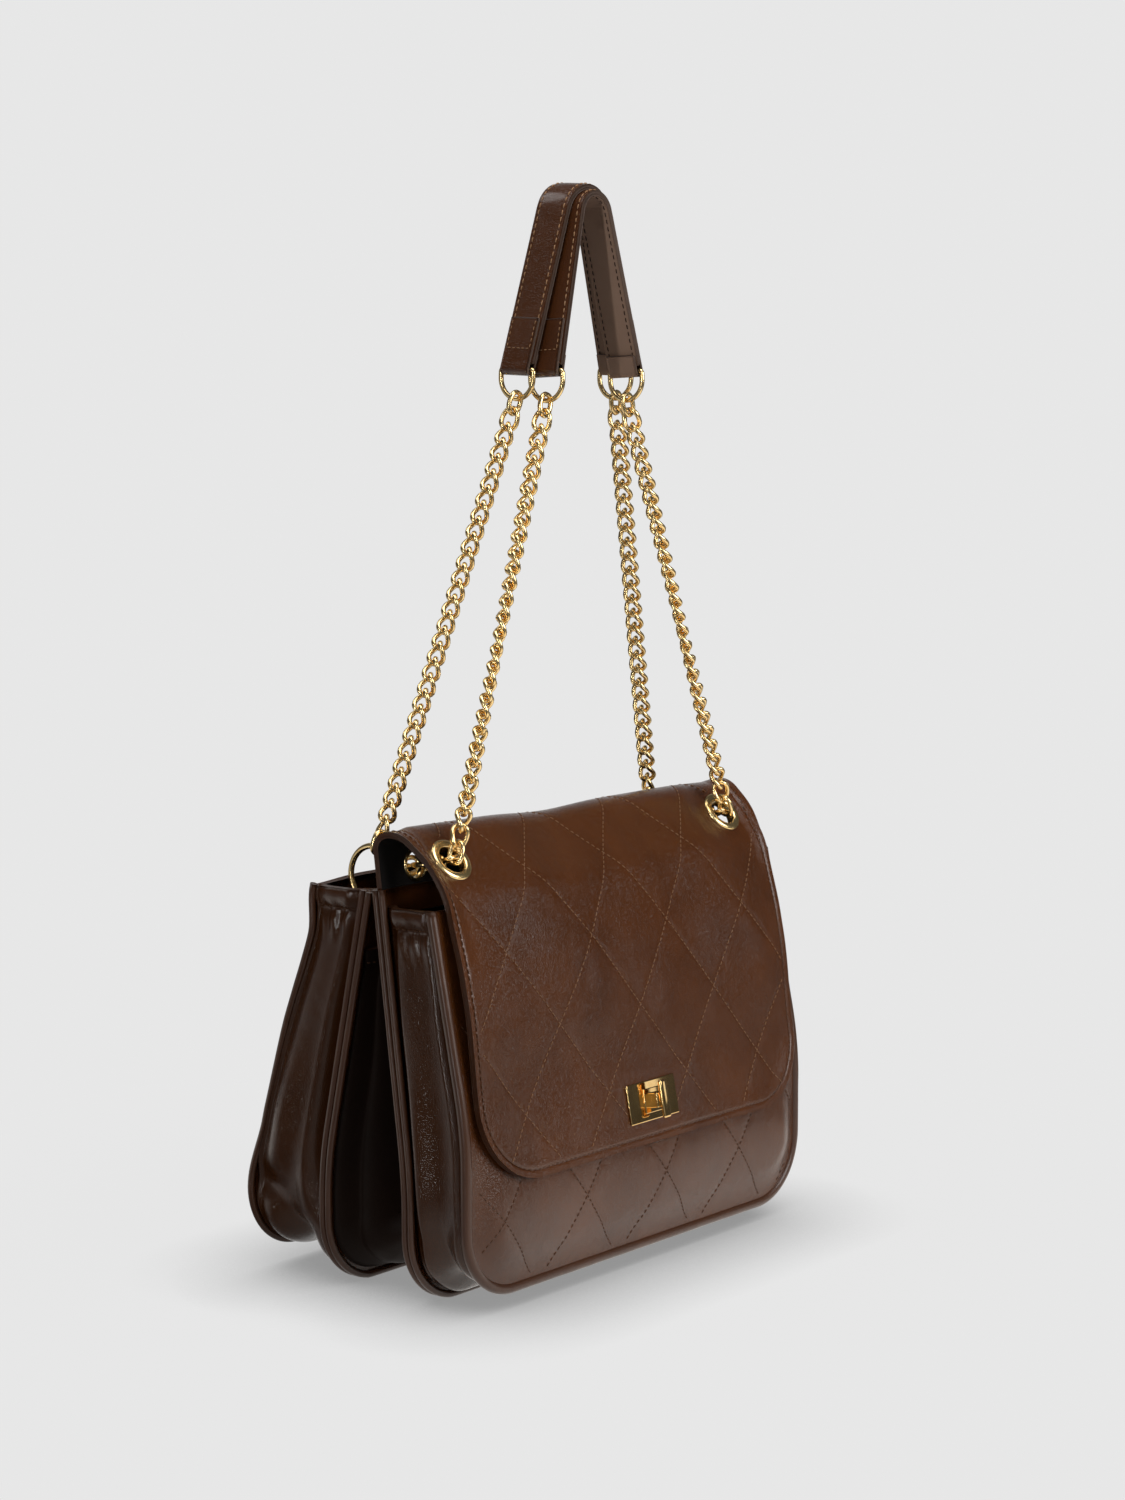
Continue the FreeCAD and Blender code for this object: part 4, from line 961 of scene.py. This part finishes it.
def tabPiece(name, info, side):
    # a loop round the ring's bar: long outside, short inside
    radius = tab["inner"] + tab["leather"] / 2
    tallRows, bendRows, shortRows = tab["rows"]
    turn = np.linspace(0, pi, bendRows)
    sideX = np.concatenate([np.full(tallRows, radius), radius * np.cos(turn), np.full(shortRows, -radius)])
    sideZ = np.concatenate([np.linspace(tab["tall"], tab["foot"], tallRows), -radius * np.sin(turn),
                            np.linspace(tab["foot"], tab["short"], shortRows)])
    across = np.linspace(-1, 1, tab["cols"])
    tilt = math.radians(-info["slant"])
    x = sideX * math.cos(tilt) + sideZ * math.sin(tilt)
    z = -sideX * math.sin(tilt) + sideZ * math.cos(tilt)
    grid = np.stack(np.broadcast_arrays((info["hub"][0] + x)[:, None] * side,
                                        info["hub"][1] + across * tab["width"] / 2,
                                        (info["hub"][2] + tab["above"] + z)[:, None]), -1)
    uv = np.stack(np.broadcast_arrays(across[None] * tab["uvWidth"], np.arange(len(x))[:, None]), -1) * mm
    materials = (padHide, edgeHide, edgePaint, padSuede)
    piece, sheet = slab(name, leaned(grid, info), tab["leather"], materials, (side, 0, 0), (10, 6), uv, 0.3)
    shown = np.zeros(len(piece.data.polygons), np.int32)
    piece.data.polygons.foreach_get("material_index", shown)
    shown[np.flatnonzero(shown == 0)[(tab["cols"] - 1) * tab["suedeFrom"]:]] = 3  # the end on the pad's lining
    piece.data.polygons.foreach_set("material_index", shown)
    outer, normal, last = sheet["outer"], sheet["normal"], tab["seamEnd"]
    lines = [(outer[1:last + 1, c], normal[1:last + 1, c]) for c in (1, tab["cols"] - 2)]
    lines += [(outer[last, 1:-1], normal[last, 1:-1])]
    return piece, stitches(name + "Stitches", lines, "tab", tanThread)


for key in ("front", "rear"):
    info = pads[key]
    owner = key + "_pad"
    piece, sheet = padStrip(key + "Pad", info, pads["ply"] / 2 - pads["leather"] / 2, pads["leather"],
                            pads["cushion"], (padHide, edgePaint, edgePaint))
    dress(piece, owner, key + "_pad")
    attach(padStitches(key + "PadStitches", sheet, "outer", 1, tanThread), owner)
    piece, sheet = padStrip(key + "PadBack", info, -pads["ply"] / 2 + pads["lining"] / 2, pads["lining"], 0.0,
                            (edgePaint, padSuede, edgePaint))
    dress(piece, owner, key + "_pad_lining")
    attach(padStitches(key + "PadBackStitches", sheet, "inner", -1, darkThread), owner)
    for side, hand in hands:
        node = "%s_tab_%s" % (key, hand)
        piece, seam = tabPiece(camel(node), info, side)
        dress(piece, owner, node)
        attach(seam, owner)
print("pads")

# Turn lock: boxes of width, height, near and far side and edge radius; plate and collar, boss and bar, mm
lock = {"centre": (0, *flap["lock"]), "up": (0, 0.198, 0.9802), "out": (0, -0.9802, 0.198),
        "plate": ((37.0, 19.0, 1.45, 2.65, 0.55), (14.4, 11.6, 2.5, 3.3, 0.35)),
        "knob": ((9.0, 7.0, 2.85, 8.6, 0.5), (5.0, 18.0, 8.25, 10.45, 1.0)), "bevelSteps": 5}


def roundedBox(width, tall, low, high, radius):
    # the six sides of a box, each point drawn in to a smaller box and pushed back out by the radius
    size = np.array([width, tall, high - low]) / 2
    bevel = radius * np.linspace(0, 1, lock["bevelSteps"])
    count = 2 * len(bevel)
    points, faces = [], []
    for axis in range(3):
        first, second = (axis + 1) % 3, (axis + 2) % 3
        marks = [np.concatenate([bevel - size[k], size[k] - bevel[::-1]]) for k in (first, second)]
        for side in (-1, 1):
            grid = np.zeros((count, count, 3))
            grid[..., first], grid[..., second] = marks[0][:, None], marks[1][None]
            grid[..., axis] = side * size[axis]
            inner = np.clip(grid, radius - size, size - radius)
            index = np.arange(count ** 2).reshape(count, count) + count ** 2 * len(points)
            faces.append(quadsOf(index)[:, ::-side])
            points.append((inner + unit(grid - inner) * radius).reshape(-1, 3))
    merged, place = np.unique(np.concatenate(points).round(5), axis=0, return_inverse=True)
    return merged + [0, 0, (low + high) / 2], place.reshape(-1)[np.concatenate(faces)]


def lockPiece(name, boxes):
    points, faces, count = [], [], 0
    for part in boxes:
        corners, quads = roundedBox(*part)
        points.append(corners)
        faces.append(quads + count)
        count += len(corners)
    basis = np.array([(1, 0, 0), lock["up"], lock["out"]])
    return makeMesh(name, np.concatenate(points) @ basis + lock["centre"], faces, [lockGold])


for word, node, owner in (("plate", "lock_plate", "flap"), ("knob", "turn_knob", "turn_knob")):
    dress(lockPiece("lock" + word.title(), lock[word]), owner, node)
print("lock")

for name, node in nodes.items():
    if not node.hide_render:
        node.data.materials.clear()
        node.data.materials.append(gold)
        print("kept", name)

# Floor: pale paper that glows evenly for the camera, with a soft contact shadow painted into the glow, m.
# Sheets: centre and reach of the patches of paper that glow in reflections only, a painted reflection in the
# leather
paper = {"half": 4000.0, "tone": 0.8, "shadow": 0.3, "shadowReach": 0.07, "lit": 0.04, "litReach": (0.12, 0.4),
         "mirror": (1, 0.94, 0.88, 1), "mirrorLevel": 1.15,
         "sheets": (((0.12, -0.3, 0), 0.25, 0.5), ((-0.3, 0.4, 0), 0.18, 0.32))}
# World: direction, limits and level of each pale field that is mirrored, over a dark room
room = {"dark": 0.06, "camera": 0.8, "fill": 0.12,
        "fields": (((0.76, 0.62, -0.19), 0.6, 0.95, 0.65), ((-0.61, 0.73, -0.3), 0.88, 0.97, 0.5),
                   ((-0.76, -0.62, 0.19), 0.75, 1.0, 0.32))}
white = (1, 1, 1, 1)


def shaderMix(tree, share, first, second):
    return addNode(tree, "MixShader", {0: share, 1: first, 2: second}).outputs[0]


def glowing(tree, kind, colour, strength):
    return addNode(tree, kind, {"Color": colour, "Strength": strength}).outputs[0]


def paperMaterial():
    item, tree, shader = newMaterial("paper")
    tone = paper["tone"]
    setInputs(tree, shader, {"Base Color": (tone, tone, tone, 1), "Roughness": 0.9, "Specular IOR Level": 0.1})
    where = placeOf(tree, "Object")
    far = addNode(tree, "VectorMath", {0: where}, operation="LENGTH").outputs["Value"]
    fade = mapped(tree, far, *paper["litReach"], paper["lit"], 0.0, "SMOOTHSTEP")
    # painted shadow: the paper's glow dims where occlusion finds the bag close by; only a little real lit paper
    # is mixed in near it
    paintedContactShadow = addNode(tree, "AmbientOcclusion", {"Distance": paper["shadowReach"]}, samples=8).outputs["AO"]
    even = glowing(tree, "Emission", white, mapped(tree, paintedContactShadow, 0.25, 1.0, paper["shadow"], tone))
    shown = shaderMix(tree, fade, even, shader.outputs[0])
    sheets = []
    for centre, near, off in paper["sheets"]:  # in front of the bag to the right, and behind it to the left
        away = addNode(tree, "VectorMath", {0: where, 1: centre}, operation="DISTANCE").outputs["Value"]
        sheets.append(mapped(tree, away, near, off, 1.0, 0.0, "SMOOTHSTEP"))
    ray = addNode(tree, "LightPath").outputs
    # painted reflection: glossy rays see the paper inside the sheets glow warm and brighter than it is lit;
    # elsewhere it is see-through
    bright = glowing(tree, "Emission", paper["mirror"], paper["mirrorLevel"])
    mirror = shaderMix(tree, ray["Is Glossy Ray"], shader.outputs[0], bright)
    gone = addNode(tree, "BsdfTransparent").outputs[0]
    lit = shaderMix(tree, maths(tree, "MAXIMUM", *sheets), gone, mirror)
    surface = shaderMix(tree, ray["Is Camera Ray"], lit, shown)
    setInputs(tree, tree.nodes["Material Output"], {"Surface": surface})
    return item


corners = np.array([[-1, -1, 0], [1, -1, 0], [1, 1, 0], [-1, 1, 0]]) * paper["half"]
floor = makeMesh("floor", corners, [np.array([[0, 1, 2, 3]])], [paperMaterial()])

world = bpy.data.worlds.new("studio")
bpy.context.scene.world = world
world.use_nodes = True
tree = world.node_tree
ray = addNode(tree, "LightPath").outputs
mirrored = maths(tree, "MAXIMUM", ray["Is Glossy Ray"], ray["Is Transmission Ray"])
seen = maths(tree, "MAXIMUM", ray["Is Camera Ray"], mirrored)
way = placeOf(tree, "Generated")
dim = room["dark"]
for axis, low, high, most in room["fields"]:
    toward = addNode(tree, "VectorMath", {0: way, 1: axis}, operation="DOT_PRODUCT").outputs["Value"]
    dim = maths(tree, "MAXIMUM", dim, mapped(tree, toward, low, high, 0.0, most))
level = addNode(tree, "Mix", {0: ray["Is Camera Ray"], 2: dim, 3: room["camera"]}, data_type="FLOAT").outputs[0]
shown, fill = (glowing(tree, "Background", white, strength) for strength in (level, room["fill"]))
setInputs(tree, tree.nodes["World Output"], {"Surface": shaderMix(tree, seen, fill, shown)})

# Lamps: place, aim, width and height in metres, power in watts
lamps = {"overhead": ((-0.1, -0.3, 1.7), (0, 0, 0.15), 1.0, 1.0, 14),
         "leftStrip": ((-1.6, -0.35, 0.5), (0, 0, 0.12), 0.06, 1.2, 7),
         "frontBox": ((0.3, -1.9, 0.95), (0, 0, 0.12), 1.3, 1.0, 29),
         "crownBox": ((-0.4, 1.12, 1.81), (0, 0, 0.45), 0.8, 0.5, 4.0),
         "rightCard": ((1.22, -1.05, 0.2), (0, 0, 0.13), 0.14, 0.22, 0.1)}
for name, (at, aim, wide, tall, power) in lamps.items():
    lamp = bpy.data.lights.new(name, "AREA")
    lamp.shape, lamp.size, lamp.size_y, lamp.energy = "RECTANGLE", wide, tall, power
    piece = bpy.data.objects.new(name, lamp)
    bpy.context.scene.collection.objects.link(piece)
    away = np.array(aim) - np.array(at)
    yaw = math.atan2(away[0], -away[1])
    pitch = math.atan2(math.hypot(away[0], away[1]), -away[2])
    piece.location, piece.rotation_euler = at, (pitch, 0, yaw + pi)

# Camera, as fitted to the photograph: place in metres, angles in degrees
photoView = {"lens": 75.05, "sensor": 36.0, "place": (-1.1587, -0.9463, 0.4160), "down": 6.62, "turn": -51.11}
view = bpy.data.cameras.new("photoView")
view.sensor_fit, view.sensor_height, view.lens = "VERTICAL", photoView["sensor"], photoView["lens"]
camera = bpy.data.objects.new("photoView", view)
bpy.context.scene.collection.objects.link(camera)
camera.location = np.array(photoView["place"]) + [0, shiftY * mm, 0]
camera.rotation_euler = (math.radians(90 - photoView["down"]), 0, math.radians(photoView["turn"]))
bpy.context.scene.camera = camera
bpy.context.scene.view_settings.view_transform = "Standard"
print("stage")
